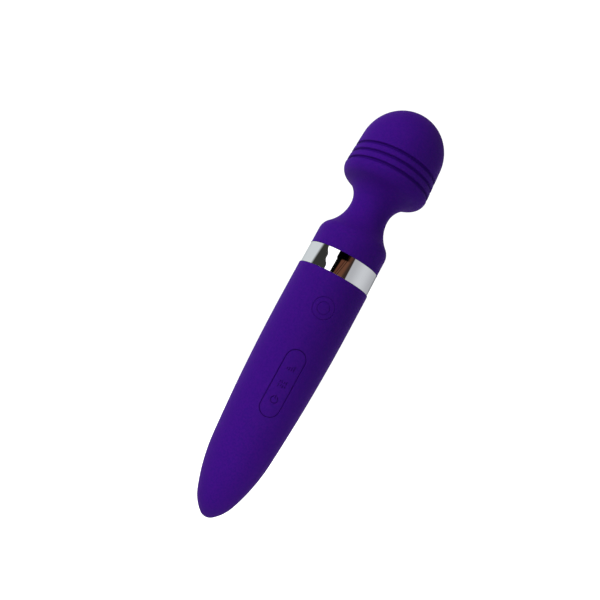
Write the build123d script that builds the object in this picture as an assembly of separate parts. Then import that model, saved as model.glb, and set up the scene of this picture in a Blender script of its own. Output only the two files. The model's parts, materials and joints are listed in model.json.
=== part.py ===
"""A handheld wand massager: a silicone-covered handle with three buttons, a flexible neck and a round head
with a motor and an eccentric weight in it. Lengths are in millimetres and angles in degrees.

The wand stands on +Z with its tail tip at the origin. Its buttons face -Y.
"""
from build123d import *
import os
from math import cos, radians, sin, tan

# --- Outside of the handle ---
GRIP_R = 19.9                 # radius of the straight part of the handle
TAIL_ARCS = (                 # radius and turn of each arc from the tip; a last, longest one ends upright
    (5.7, 40.2),
    (23.2, 28.8),
    (99.5, 16.3),
)
RING_BOTTOM = 136.8
RING_TOP = 148.4
RING_PROUD = 0.1              # how far the ring stands out over the shoulder
RING_EDGE_R = 0.4

# --- Outside of the shoulder, neck and head ---
SHOULDER_R = 19.3
SHOULDER_RISE = 8.6           # straight height above the ring
SHOULDER_EDGE_R = 7.6
SHOULDER_TURN = 46.7
NECK_LOWER_R = 19.2           # radius of the hollow below the waist
NECK_UPPER_R = 12.8           # radius of the hollow above the waist
NECK_UPPER_TURN = 64.4
HEAD_UNDERSIDE = 2.05
HEAD_EDGE_R = 6.6
HEAD_TAPER = 3.3              # the head's side narrows upwards by this angle
HEAD_SIDE = 17.6
GROOVE_HEIGHTS = (195.7, 200.3, 204.7)
GROOVE_R = 1.0                # radius of a groove's round section
GROOVE_DEPTH = 0.9

# --- Walls ---
HANDLE_SKIN = 1.6
UPPER_SKIN = 1.8
SHELL_WALL = 2.0
RING_WALL = 1.7
NECK_FROM = 164.5             # the silicone between these heights bends
NECK_TO = 186.5

# --- Buttons, from the top one down ---
BUTTONS = {"level": 86.7, "mode": 78.1, "power": 69.7}
PANEL_WIDTH = 10.6
PANEL_LOW = 60.4
PANEL_HIGH = 96.4
BUTTON_GAP = 0.4
PAD_LIFT = 0.6                # height of a pad's back face over the shell, so that it has room to be pressed
KEY_WIDTH = 6.4
KEY_HEIGHT = 5.6
KEY_SLACK = 0.3
KEY_STOP = -13.0              # y of the back face of a key's flange
KEY_STOP_THICK = 0.8
KEY_NOSE_R = 1.5
PLUNGER_R = 1.2
PLUNGER_TIP = -12.0
PLUNGER_SLACK = 0.08

# --- Electronics and cell ---
BOARD_FRONT = -9.6
BOARD_THICK = 1.0
BOARD_WIDTH = 18.0
BOARD_LOW = 54.0
BOARD_HIGH = 119.0
SWITCH_TALL = 1.5
SWITCH_WIDE = 4.5
SWITCH_FLOOR = 0.2
BOARD_CORNER_R = 1.5
LED_X = 5.4                   # where a light begins, sideways
LED_WIDE = 1.6
LED_TALL = 1.0
LED_THICK = 0.7
CELL_R = 9.1
CELL_LENGTH = 65.0
CELL_LOW = 47.0
CELL_Y = 1.5
CELL_EDGE_R = 0.8
CELL_TIP_R = 3.0              # radius of the raised positive end
CELL_TIP = 1.0
TAB_HALF = 2.5
TAB_FRONT = -5.0
TAB_THICK = 0.2
LEAD_R = 0.45
LEAD_Y = -8.1                 # y of a lead that lies along the back of the board
BOARD_BACK = BOARD_FRONT + BOARD_THICK
ARC_SHARE = 0.45              # the part of the shorter run that an arc may take at each of its ends

# --- Charging jack on the axis at the tail ---
JACK_BORE_R = 1.3
JACK_R = 3.4
JACK_LOW = 1.8
JACK_HIGH = 13.0
JACK_BORE_TOP = 11.8
PLUG_SLACK = 0.2              # the skin's hole is wider than the bore by this
LUG_RISE = 3.0

# --- Motor in the head ---
MOTOR_R = 12.0
MOTOR_LOW = 195.0
MOTOR_HIGH = 214.0
CAN_WALL = 0.8
SHAFT_R = 1.0
SHAFT_RUNNING = 0.05          # radial clearance of the shaft in its bushing
BRACKET_THICK = 1.6
WEIGHT_R = 9.8
WEIGHT_LOW = 217.6
WEIGHT_HIGH = 224.4
BRACKET_SCREWS = 3
BRACKET_SCREW_AT = 15.4

BUSHING_R = 2.8
BUSHING_TOP = 216.0
SHAFT_LOW = 196.4
END_CAP_TOP = 198.4
COMMUTATOR_R = 2.6
COMMUTATOR_TOP = 201.0
BRUSH_X = 2.85
MAGNET_LOW = 200.0
MAGNET_HIGH = 212.0
MAGNET_INNER_R = 9.3
ARMATURE_R = 8.8
ARMATURE_LOW = 201.4
ARMATURE_HIGH = 211.4
PAD_R = 13.0
BRACKET_R = 17.4
TERMINAL_LOW = 192.5

# --- Flexible neck ---
LEAD_BORE_R = 3.2
LEAD_X = 1.5
COLLAR_R = 8.4
BASE_LOW = 150.0
BASE_FLANGE_R = 14.4
CORE_R = 8.6
CORE_LOW = 167.0
CORE_HIGH = 184.5
CAP_HIGH = 192.0
CAP_FLANGE_R = 13.4
GUIDE_R = 5.0
GUIDE_LOW = 174.4
GUIDE_HIGH = 178.4

# --- Head shells ---
CUP_LOW = 185.0
CUP_TOP = 206.0
LAP = 2.5
RIB_LOW = 193.0

# --- Handle shells and small fixings ---
SEAT_LOW = 134.0
SHELL_TOP = 166.0
SEAL_R = 17.0
SEAL_WIRE_R = 0.5
SEAL_HEIGHTS = (138.5, 145.5)
SEAL_GROOVE = 1.2             # height of the groove that a seal lies in
SEAT_SLACK = 0.05
SPLIT_SLACK = 0.02            # each shell half stops short of the middle by this
SHELL_BOSS_R = 2.4
BOARD_BOSS_R = 1.8
SHELL_SCREW_TIP = -7.0
BOARD_SCREW_BITE = 2.5
KEY_STOP_WIDE = 8.8
PLUNGER_BACK = -10.6
CRADLE_LOW = 56.0
CRADLE_HIGH = 104.0
CRADLE_WALL = 1.2
CRADLE_SLACK = 0.15
CRADLE_RIB_HALF = 6.0
LUG_X = 2.0
SHELL_HEAD_Y = 6.0
SHELL_SCREWS = ((-8.0, 30.0), (8.0, 30.0), (-9.5, 126.0), (9.5, 126.0))
BOARD_SCREWS = ((-6.6, 57.5), (6.6, 57.5), (-6.6, 116.0), (6.6, 116.0))

SCREW_R = 1.0
SCREW_HEAD_R = 1.9
SCREW_HEAD = 1.0
SCREW_SLACK = 0.15            # a clearance hole is wider than its screw by this
FAR = 60.0                    # larger than anything it is cut with


def path(start, heading, steps, inset):
    """Edges of a smooth path in the (radius, height) plane, and its end.

    steps are (length, 0) for a straight run or (radius, turn) for a tangent arc; a turn to the left is
    positive. The whole path is moved to its left by inset.
    """
    angle = radians(heading)
    point = Vector(start[0] - inset * sin(angle), start[1] + inset * cos(angle))
    edges = []
    for size, turn in steps:
        if turn == 0:
            end = point + size * Vector(cos(angle), sin(angle))
            edges.append(Line(point, end))
        else:
            side = 1 if turn > 0 else -1
            reach = size - side * inset
            centre = point + side * reach * Vector(-sin(angle), cos(angle))
            points = []
            for share in (0.5, 1.0):
                at = angle + radians(turn) * share
                points.append(centre - side * reach * Vector(-sin(at), cos(at)))
            edges.append(ThreePointArc(point, points[0], points[1]))
            end = points[1]
            angle += radians(turn)
        point = end
    return edges, point


def turned(edges):
    """The solid made by turning a closed outline of (radius, height) edges about the Z axis."""
    return revolve(Plane.XZ * make_face(edges), Axis.Z)


def handle_body(inset):
    """The solid handle up to the ring, with its surface moved inwards by inset."""
    turned_by = sum(turn for radius, turn in TAIL_ARCS)
    reached = path((0, 0), 0, TAIL_ARCS, 0)[1].X
    side_r = (GRIP_R - reached) / (1 - sin(radians(turned_by)))
    edges, end = path((0, 0), 0, TAIL_ARCS + ((side_r, 90 - turned_by),), inset)
    top = Vector(end.X, RING_BOTTOM)
    edges += [Line(end, top), Line(top, (0, RING_BOTTOM)), Line((0, RING_BOTTOM), (0, inset))]
    return turned(edges)


UPPER_STEPS = [
    (SHOULDER_RISE, 0),
    (SHOULDER_EDGE_R, SHOULDER_TURN),
    (NECK_LOWER_R, -SHOULDER_TURN),
    (NECK_UPPER_R, -NECK_UPPER_TURN),
    (HEAD_UNDERSIDE, 0),
    (HEAD_EDGE_R, NECK_UPPER_TURN + HEAD_TAPER),
]


def head_side_r(height):
    """The radius of the head's tapered side at a height."""
    corner = path((SHOULDER_R, RING_TOP), 90, UPPER_STEPS, 0)[1]
    return corner.X - (height - corner.Y) * tan(radians(HEAD_TAPER))


def upper_body(inset):
    """The solid shoulder, neck and head above the ring, with their surface moved inwards by inset."""
    steps = UPPER_STEPS + [(HEAD_SIDE, 0)]
    start = (SHOULDER_R, RING_TOP)
    dome_r = path(start, 90, steps, 0)[1].X / cos(radians(HEAD_TAPER))
    edges, top = path(start, 90, steps + [(dome_r, 90 - HEAD_TAPER)], inset)
    edges += [Line((0, top.Y), (0, RING_TOP)), Line((0, RING_TOP), (SHOULDER_R - inset, RING_TOP))]
    return turned(edges)


def rod(radius, low, high, x=0.0, y=0.0):
    """An upright round bar between two heights."""
    return Pos(x, y, (low + high) / 2) * Cylinder(radius, high - low)


def rod_y(radius, near, far, x, z):
    """A round bar along Y between two depths."""
    return Pos(x, (near + far) / 2, z) * Rot(90, 0, 0) * Cylinder(radius, far - near)


def tube(outer, inner, low, high):
    """An upright tube between two heights."""
    return rod(outer, low, high) - rod(inner, low - 1, high + 1)


def block(x0, x1, y0, y1, z0, z1):
    """A box between three pairs of limits."""
    return Pos((x0 + x1) / 2, (y0 + y1) / 2, (z0 + z1) / 2) * Box(x1 - x0, y1 - y0, z1 - z0)


def layer(low, high):
    """Everything between two heights."""
    return block(-FAR, FAR, -FAR, FAR, low, high)


def front_window(width, low, high):
    """A bar with a stadium section that goes through the front wall."""
    middle = (low + high) / 2
    shape = Pos(0, middle) * SlotOverall(high - low, width, rotation=90)
    return extrude(Plane.XZ * shape, amount=FAR)


def handle_sleeve():
    """The silicone skin of the handle, with the window for the button pads and the hole for the plug."""
    skin = handle_body(0) - handle_body(HANDLE_SKIN)
    plug_hole = rod(JACK_BORE_R + PLUG_SLACK, -1, JACK_LOW + 1)
    return skin - front_window(PANEL_WIDTH, PANEL_LOW, PANEL_HIGH) - plug_hole


def upper_sleeve():
    """The silicone skin of the shoulder, neck and head, with the three grooves round the head."""
    skin = upper_body(0) - upper_body(UPPER_SKIN)
    for height in GROOVE_HEIGHTS:
        skin -= Pos(0, 0, height) * Torus(head_side_r(height) + GROOVE_R - GROOVE_DEPTH, GROOVE_R)
    return skin


def plated_ring():
    """The bright ring between the handle and the shoulder, with softened outer edges."""
    ring = tube(SHOULDER_R + RING_PROUD, SHOULDER_R - RING_WALL, RING_BOTTOM, RING_TOP)
    rims = ring.edges().filter_by(GeomType.CIRCLE).group_by(SortBy.RADIUS)[-1]
    return fillet(rims, RING_EDGE_R)


def ring_seals():
    """Two rubber rings that sit in grooves of the shell under the plated ring."""
    ring = Torus(SEAL_R, SEAL_WIRE_R)
    return Compound([Pos(0, 0, height) * ring for height in SEAL_HEIGHTS])


def shell_wall():
    """The hard shell's wall round the handle, the ring seat and the shoulder, before it is split."""
    lower = handle_body(HANDLE_SKIN) - handle_body(HANDLE_SKIN + SHELL_WALL)
    seat_r = SHOULDER_R - RING_WALL - SEAT_SLACK
    lower = lower & layer(0, SEAT_LOW)
    seat = tube(seat_r, seat_r - SHELL_WALL, SEAT_LOW, RING_TOP)
    step = tube(GRIP_R - HANDLE_SKIN, seat_r - SHELL_WALL, SEAT_LOW - SHELL_WALL, SEAT_LOW)
    upper = upper_body(UPPER_SKIN) - upper_body(UPPER_SKIN + SHELL_WALL)
    upper = upper & layer(RING_TOP, SHELL_TOP)
    wall = lower + seat + step + upper
    for height in SEAL_HEIGHTS:
        wall -= tube(seat_r + 1, SEAL_R - SEAL_WIRE_R, height - SEAL_GROOVE / 2, height + SEAL_GROOVE / 2)
    return wall - rod(JACK_R, -1, JACK_HIGH)


def shell_halves():
    """The front and back shells, with the screw bosses, the board's bosses and the holes for the keys."""
    wall = shell_wall()
    inside = handle_body(HANDLE_SKIN + 1)
    for x, z in SHELL_SCREWS:
        wall += rod_y(SHELL_BOSS_R, -FAR / 2, FAR / 2, x, z) & inside
    for x, z in BOARD_SCREWS:
        wall += rod_y(BOARD_BOSS_R, -FAR / 2, BOARD_FRONT, x, z) & inside
    front = wall & block(-FAR, FAR, -FAR, -SPLIT_SLACK, 0, FAR * 4)
    back = wall & block(-FAR, FAR, SPLIT_SLACK, FAR, 0, FAR * 4)
    for x, z in SHELL_SCREWS:
        front -= rod_y(SCREW_R, SHELL_SCREW_TIP, 1, x, z)
        back -= rod_y(SCREW_R + SCREW_SLACK, -1, FAR, x, z)
        back -= rod_y(SCREW_HEAD_R + SCREW_SLACK, SHELL_HEAD_Y, FAR, x, z)
    for x, z in BOARD_SCREWS:
        front -= rod_y(SCREW_R, BOARD_FRONT - BOARD_SCREW_BITE, BOARD_FRONT + 1, x, z)
    for height in BUTTONS.values():
        front -= key_prism(height, KEY_SLACK, -FAR, BOARD_FRONT)
    return front, back


def screw_y(x, z, seat, tip):
    """A pan-head screw along Y, with its head beyond the seat and its tip at the other end."""
    return rod_y(SCREW_R, tip, seat, x, z) + rod_y(SCREW_HEAD_R, seat, seat + SCREW_HEAD, x, z)


def key_prism(height, slack, near, far):
    """The bar along Y that a key or its hole fills, between two depths."""
    half_wide, half_tall = KEY_WIDTH / 2 + slack, KEY_HEIGHT / 2 + slack
    return block(-half_wide, half_wide, near, far, height - half_tall, height + half_tall)


def button_pad(name):
    """One of the three silicone pads that fill the panel's window."""
    heights = sorted(BUTTONS.values())
    place = heights.index(BUTTONS[name])
    limits = [PANEL_LOW]
    limits += [(a + b) / 2 for a, b in zip(heights, heights[1:])]
    limits += [PANEL_HIGH]
    window = front_window(PANEL_WIDTH - 2 * BUTTON_GAP, PANEL_LOW + BUTTON_GAP, PANEL_HIGH - BUTTON_GAP)
    skin = (handle_body(0) - handle_body(HANDLE_SKIN - PAD_LIFT)) & window
    return skin & layer(limits[place] + BUTTON_GAP / 2, limits[place + 1] - BUTTON_GAP / 2)


def button_key(name):
    """The hard key behind a pad: a bar through the shell with a stop flange and a nose behind it."""
    height = BUTTONS[name]
    bar = key_prism(height, 0, -FAR, KEY_STOP) & handle_body(HANDLE_SKIN - PAD_LIFT)
    stop_front = KEY_STOP - KEY_STOP_THICK
    flange = block(-KEY_STOP_WIDE / 2, KEY_STOP_WIDE / 2, stop_front, KEY_STOP,
                   height - KEY_HEIGHT / 2, height + KEY_HEIGHT / 2)
    return bar + flange + rod_y(KEY_NOSE_R, KEY_STOP, PLUNGER_TIP, 0, height)


def switch_plunger(name):
    """The moving plunger of the switch behind a key."""
    return rod_y(PLUNGER_R, PLUNGER_TIP, PLUNGER_BACK, 0, BUTTONS[name])


def tact_switches():
    """The three switch bodies on the board, each with a well that its plunger slides in."""
    bodies = []
    front = BOARD_FRONT - SWITCH_TALL
    for height in BUTTONS.values():
        half = SWITCH_WIDE / 2
        body = block(-half, half, front, BOARD_FRONT, height - half, height + half)
        well = rod_y(PLUNGER_R + PLUNGER_SLACK, front - 1, BOARD_FRONT - SWITCH_FLOOR, 0, height)
        bodies.append(body - well)
    return Compound(bodies)


def circuit_board():
    """The board along the front of the cell, with its screw holes and the holes for the leads."""
    half = BOARD_WIDTH / 2
    board = block(-half, half, BOARD_FRONT, BOARD_BACK, BOARD_LOW, BOARD_HIGH)
    board = fillet(board.edges().filter_by(Axis.Y), BOARD_CORNER_R)
    for x, z in BOARD_SCREWS:
        board -= rod_y(SCREW_R + SCREW_SLACK, -FAR, FAR, x, z)
    return board


def board_parts():
    """The chips and passive parts on the board's front, each by its width, thickness, height, x and z."""
    sizes = [(5.0, 1.0, 5.0, 0, 106.0), (4.0, 1.2, 3.2, 4.6, 99.5), (3.0, 1.4, 6.0, -5.0, 99.0),
             (2.0, 1.6, 2.0, 5.5, 112.5), (2.0, 1.6, 2.0, -5.5, 112.5)]
    parts = []
    for wide, thick, tall, x, z in sizes:
        parts.append(block(x - wide / 2, x + wide / 2, BOARD_FRONT - thick, BOARD_FRONT,
                           z - tall / 2, z + tall / 2))
    return Compound(parts)


def indicator_leds():
    """A small light beside each switch, which shines through the pad."""
    lights = []
    for height in BUTTONS.values():
        lights.append(block(LED_X, LED_X + LED_WIDE, BOARD_FRONT - LED_THICK, BOARD_FRONT,
                            height - LED_TALL / 2, height + LED_TALL / 2))
    return Compound(lights)


def lithium_cell():
    """The round rechargeable cell, with its raised positive end."""
    can = rod(CELL_R, CELL_LOW, CELL_LOW + CELL_LENGTH, y=CELL_Y)
    can = fillet(can.edges().filter_by(GeomType.CIRCLE), CELL_EDGE_R)
    top = CELL_LOW + CELL_LENGTH
    return can + rod(CELL_TIP_R, top, top + CELL_TIP, y=CELL_Y)


def cell_tabs():
    """The nickel strips welded to the two ends of the cell."""
    top = CELL_LOW + CELL_LENGTH + CELL_TIP
    back = CELL_Y + CELL_TIP_R
    strips = [block(-TAB_HALF, TAB_HALF, TAB_FRONT, back, low, low + TAB_THICK)
              for low in (top, CELL_LOW - TAB_THICK)]
    return Compound(strips)


def cell_cradle():
    """The trough that holds the cell, with two ribs that stand on the back shell."""
    inner = CELL_R + CRADLE_SLACK
    trough = rod(inner + CRADLE_WALL, CRADLE_LOW, CRADLE_HIGH, y=CELL_Y) - rod(inner, 0, FAR * 4, y=CELL_Y)
    trough = trough & block(-FAR, FAR, CELL_Y, FAR, 0, FAR * 4)
    for height in (CRADLE_LOW + 4, CRADLE_HIGH - 4):
        near = CELL_Y + inner + CRADLE_WALL / 3
        rib = block(-CRADLE_RIB_HALF, CRADLE_RIB_HALF, near, FAR, height - 1, height + 1)
        trough += rib & handle_body(HANDLE_SKIN + SHELL_WALL + SPLIT_SLACK)
    return trough


def foam_pad():
    """The thin foam between the cell and the board."""
    return block(-4, 4, BOARD_BACK, CELL_Y - CELL_R, 62, 100)


def charge_jack():
    """The charging jack: a blind socket on the axis, flush with the shell at the tail."""
    body = rod(JACK_R, JACK_LOW, JACK_HIGH) - rod(JACK_BORE_R, 0, JACK_BORE_TOP)
    return body & handle_body(HANDLE_SKIN)


def jack_contacts():
    """The two solder lugs behind the jack."""
    lug = block(-0.4, 0.4, -1.2, 1.2, JACK_HIGH, JACK_HIGH + LUG_RISE)
    return Compound([Pos(side * LUG_X, 0, 0) * lug for side in (-1, 1)])


def lead(points):
    """A round insulated lead along straight runs joined by arcs as large as the runs allow."""
    corners = [Vector(*point) for point in points]
    radii = []
    for before, at, after in zip(corners, corners[1:], corners[2:]):
        turn = radians((at - before).get_angle(after - at))
        radii.append(ARC_SHARE * min((at - before).length, (after - at).length) / tan(turn / 2))
    line = FilletPolyline(*corners, radius=radii)
    return sweep(Plane(origin=line @ 0, z_dir=line % 0) * Circle(LEAD_R), path=line)


def charge_leads():
    """The two leads from the jack's lugs up to the back of the board."""
    leads = []
    for side in (-1, 1):
        leads.append(lead([(side * LUG_X, 0, JACK_HIGH + LUG_RISE), (side * 2.4, -0.4, 26),
                           (side * 3.6, -5.0, 37), (side * 4.0, -7.7, 46),
                           (side * 4.0, LEAD_Y, BOARD_LOW + 6)]))
    return Compound(leads)


def cell_leads():
    """The two short leads from the cell's tabs to the back of the board."""
    top = CELL_LOW + CELL_LENGTH + CELL_TIP + TAB_THICK
    upper = lead([(0, -4.4, top), (0.1, -4.4, top + 1.8), (0.5, -6.4, top + 2.8), (0.7, BOARD_BACK, top + 3)])
    lower = lead([(0, -4.4, CELL_LOW - TAB_THICK), (0.1, -4.4, CELL_LOW - 2.4), (0.2, -6.8, CELL_LOW - 3.2),
                  (0.4, LEAD_Y, CELL_LOW - 0.6), (0.5, LEAD_Y - 0.1, CELL_LOW + 2.4),
                  (0.5, LEAD_Y, BOARD_LOW + 2)])
    return Compound([upper, lower])


def neck_collar(low, high, flange_low, flange_high, flange_r):
    """A collar that an end of the flexible neck core is moulded onto."""
    return tube(COLLAR_R, LEAD_BORE_R, low, high) + tube(flange_r, LEAD_BORE_R, flange_low, flange_high)


def neck_core():
    """The flexible core of the neck: a ribbed tube with a pocket for the lead guide."""
    core = tube(CORE_R, LEAD_BORE_R, CORE_LOW, CORE_HIGH)
    ribs = 4
    pitch = (CORE_HIGH - CORE_LOW) / ribs
    for number in range(ribs):
        height = CORE_LOW + pitch * (number + 0.5)
        core -= tube(CORE_R + 1, CORE_R - 1.2, height - 0.7, height + 0.7)
    return core - rod(GUIDE_R, GUIDE_LOW, GUIDE_HIGH)


def lead_guide():
    """The hard ring in the middle of the core, with two holes that keep the leads apart."""
    ring = rod(GUIDE_R, GUIDE_LOW, GUIDE_HIGH)
    for side in (-1, 1):
        ring -= rod(LEAD_R + 0.1, GUIDE_LOW - 1, GUIDE_HIGH + 1, x=side * LEAD_X)
    return ring


def motor_leads():
    """The two leads from the top of the board through the neck to the motor's terminals."""
    leads = []
    for side in (-1, 1):
        leads.append(lead([(side * 4.5, LEAD_Y, BOARD_HIGH - 2), (side * 4.4, -7.6, BOARD_HIGH + 7),
                           (side * 2.6, -3.2, BOARD_HIGH + 19), (side * LEAD_X, 0, BOARD_HIGH + 32),
                           (side * LEAD_X, 0.01, TERMINAL_LOW)]))
    return Compound(leads)


def head_wall():
    """The hard shell's wall round the head, before it is split into cup and dome."""
    return upper_body(UPPER_SKIN) - upper_body(UPPER_SKIN + SHELL_WALL)


def head_shells():
    """The cup that carries the motor and the dome that closes it, with a lap joint between them."""
    wall = head_wall()
    middle = UPPER_SKIN + SHELL_WALL / 2
    lap = layer(CUP_TOP, CUP_TOP + LAP)
    inner_lap = (upper_body(middle + 0.03) - upper_body(UPPER_SKIN + SHELL_WALL)) & lap
    outer_lap = (upper_body(UPPER_SKIN) - upper_body(middle - 0.03)) & lap
    cup = (wall & layer(CUP_LOW, CUP_TOP)) + inner_lap
    dome = (wall & layer(CUP_TOP + LAP, FAR * 5)) + outer_lap
    inside = upper_body(UPPER_SKIN + 1)
    for number in range(BRACKET_SCREWS):
        turn = Rot(0, 0, 360 / BRACKET_SCREWS * number + 90)
        rib = turn * block(PAD_R + 0.3, FAR, -2, 2, RIB_LOW, MOTOR_HIGH)
        cup += rib & inside & layer(RIB_LOW, CUP_TOP)
        post = turn * rod(2.0, RIB_LOW, MOTOR_HIGH, x=BRACKET_SCREW_AT)
        cup += post & inside
        cup -= turn * rod(SCREW_R, MOTOR_HIGH - 6, MOTOR_HIGH + 1, x=BRACKET_SCREW_AT)
    return cup, dome


def motor_can():
    """The motor's steel can, with the hole for the bushing in its closed end."""
    can = rod(MOTOR_R, MOTOR_LOW, MOTOR_HIGH)
    can = fillet(can.edges().filter_by(GeomType.CIRCLE).group_by(Axis.Z)[-1], 0.6)
    can -= rod(MOTOR_R - CAN_WALL, MOTOR_LOW - 1, MOTOR_HIGH - CAN_WALL)
    return can - rod(BUSHING_R, MOTOR_HIGH - 2, MOTOR_HIGH + 1)


def motor_magnets():
    """The two curved magnets stuck inside the can."""
    ring = tube(MOTOR_R - CAN_WALL, MAGNET_INNER_R, MAGNET_LOW, MAGNET_HIGH)
    return ring - block(-FAR, FAR, -2.5, 2.5, MAGNET_LOW - 1, MAGNET_HIGH + 1)


def motor_end_cap():
    """The moulded cap that closes the can's lower end and carries the brushes and the shaft's foot."""
    cap = rod(MOTOR_R - CAN_WALL, MOTOR_LOW, END_CAP_TOP)
    cap -= rod(SHAFT_R + SHAFT_RUNNING, SHAFT_LOW - 0.1, END_CAP_TOP + 1)
    for side in (-1, 1):
        cap -= block(side * BRUSH_X - 0.15, side * BRUSH_X + 0.15, -1.2, 1.2, MOTOR_LOW - 1, END_CAP_TOP + 1)
    return cap


def motor_brushes():
    """The two copper leaves that press on the commutator."""
    leaf = block(-0.15, 0.15, -1.2, 1.2, MOTOR_LOW, COMMUTATOR_TOP - 0.3)
    return Compound([Pos(side * BRUSH_X, 0, 0) * leaf for side in (-1, 1)])


def motor_terminals():
    """The two tabs under the motor that the leads are soldered to."""
    tab = block(-0.5, 0.5, -1.2, 1.2, TERMINAL_LOW, MOTOR_LOW)
    return Compound([Pos(side * LEAD_X, 0, 0) * tab for side in (-1, 1)])


def motor_bushing():
    """The bronze bushing that the shaft turns in."""
    return tube(BUSHING_R, SHAFT_R + SHAFT_RUNNING, MOTOR_HIGH - 1.6, BUSHING_TOP)


def motor_bracket():
    """The plate that three screws hold down over the motor."""
    plate = tube(BRACKET_R, BUSHING_R + 1.5, MOTOR_HIGH, MOTOR_HIGH + BRACKET_THICK)
    for number in range(BRACKET_SCREWS):
        turn = Rot(0, 0, 360 / BRACKET_SCREWS * number + 90)
        plate -= turn * rod(SCREW_R + SCREW_SLACK, 0, FAR * 5, x=BRACKET_SCREW_AT)
    return plate


def bracket_screws():
    """The three screws of the motor bracket."""
    top = MOTOR_HIGH + BRACKET_THICK
    screws = []
    for number in range(BRACKET_SCREWS):
        turn = Rot(0, 0, 360 / BRACKET_SCREWS * number + 90)
        screw = rod(SCREW_R, MOTOR_HIGH - 6, top) + rod(SCREW_HEAD_R, top, top + SCREW_HEAD)
        screws.append(turn * Pos(BRACKET_SCREW_AT, 0, 0) * screw)
    return Compound(screws)


def armature():
    """The three-pole iron core on the shaft."""
    core = tube(ARMATURE_R, SHAFT_R, ARMATURE_LOW, ARMATURE_HIGH)
    for number in range(3):
        slot = block(3.2, FAR, -0.8, 0.8, 0, FAR * 5) + block(3.2, 7.2, -2.2, 2.2, 0, FAR * 5)
        core -= Rot(0, 0, 120 * number) * slot
    return core


def armature_windings():
    """The copper wound between the poles."""
    coils = []
    for number in range(3):
        coil = block(3.4, 7.0, -2.0, 2.0, ARMATURE_LOW + 0.2, ARMATURE_HIGH - 0.2)
        coils.append(Rot(0, 0, 120 * number) * coil)
    return Compound(coils)


def eccentric_weight():
    """The half-round weight pressed on the shaft, which makes the head shake."""
    weight = rod(WEIGHT_R, WEIGHT_LOW, WEIGHT_HIGH) & block(-FAR, FAR, -FAR, 0, 0, FAR * 5)
    hub = rod(3.0, WEIGHT_LOW, WEIGHT_HIGH)
    return weight + hub - rod(SHAFT_R, 0, FAR * 5)


def make_parts():
    """Every node of the wand, by name."""
    skin = upper_sleeve()
    front, back = shell_halves()
    cup, dome = head_shells()
    parts = {
        "handle_sleeve": handle_sleeve(),
        "shoulder_sleeve": skin & layer(RING_TOP, NECK_FROM),
        "neck_sleeve": skin & layer(NECK_FROM, NECK_TO),
        "head_sleeve": skin & layer(NECK_TO, FAR * 5),
        "plated_ring": plated_ring(),
        "ring_seals": ring_seals(),
        "handle_shell_front": front,
        "handle_shell_back": back,
        "shell_screws": Compound([screw_y(x, z, SHELL_HEAD_Y, SHELL_SCREW_TIP) for x, z in SHELL_SCREWS]),
        "circuit_board": circuit_board(),
        "board_parts": board_parts(),
        "tact_switches": tact_switches(),
        "indicator_leds": indicator_leds(),
        "board_screws": Compound([screw_y(x, z, BOARD_BACK, BOARD_FRONT - BOARD_SCREW_BITE)
                                  for x, z in BOARD_SCREWS]),
        "lithium_cell": lithium_cell(),
        "cell_tabs": cell_tabs(),
        "cell_cradle": cell_cradle(),
        "foam_pad": foam_pad(),
        "charge_jack": charge_jack(),
        "jack_contacts": jack_contacts(),
        "charge_leads": charge_leads(),
        "cell_leads": cell_leads(),
        "neck_base": neck_collar(BASE_LOW, CORE_LOW, BASE_LOW, BASE_LOW + 3, BASE_FLANGE_R),
        "neck_core": neck_core(),
        "lead_guide": lead_guide(),
        "motor_leads": motor_leads(),
        "neck_cap": neck_collar(CORE_HIGH, CAP_HIGH, CAP_HIGH - 2, CAP_HIGH, CAP_FLANGE_R),
        "head_cup": cup,
        "head_dome": dome,
        "motor_can": motor_can(),
        "motor_magnets": motor_magnets(),
        "motor_end_cap": motor_end_cap(),
        "motor_brushes": motor_brushes(),
        "motor_terminals": motor_terminals(),
        "motor_bushing": motor_bushing(),
        "motor_pad": tube(PAD_R, MOTOR_R, MOTOR_LOW + 1, MOTOR_HIGH - 2),
        "motor_bracket": motor_bracket(),
        "bracket_screws": bracket_screws(),
        "motor_shaft": rod(SHAFT_R, SHAFT_LOW, WEIGHT_HIGH + 0.6),
        "armature": armature(),
        "armature_windings": armature_windings(),
        "commutator": tube(COMMUTATOR_R, SHAFT_R, END_CAP_TOP + 0.3, COMMUTATOR_TOP),
        "eccentric_weight": eccentric_weight(),
    }
    for name in BUTTONS:
        parts[name + "_pad"] = button_pad(name)
        parts[name + "_key"] = button_key(name)
        parts[name + "_plunger"] = switch_plunger(name)
    return parts


def main():
    """Write every node as a STEP file in parts/."""
    os.makedirs("parts", exist_ok=True)
    for name, solid in make_parts().items():
        export_step(solid, "parts/" + name + ".step")


main()
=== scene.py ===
"""Looks for a handheld wand massager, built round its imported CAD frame.

The wand stands upright with its tail at the origin and its buttons towards -Y. Its silicone is modelled as
surfaces of revolution with the grooves, the control panel and the pressed marks worked into them. The bright
ring and the neck's core are turned pieces, and the leads are swept tubes. Sizes are in millimetres until a
mesh is made, and the mesh is in metres.
"""
import json
import logging
from dataclasses import dataclass, field
from enum import Enum
from math import cos, pi, radians, sin

import bmesh
import bpy
import numpy as np
from mathutils import Matrix, Vector


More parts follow.
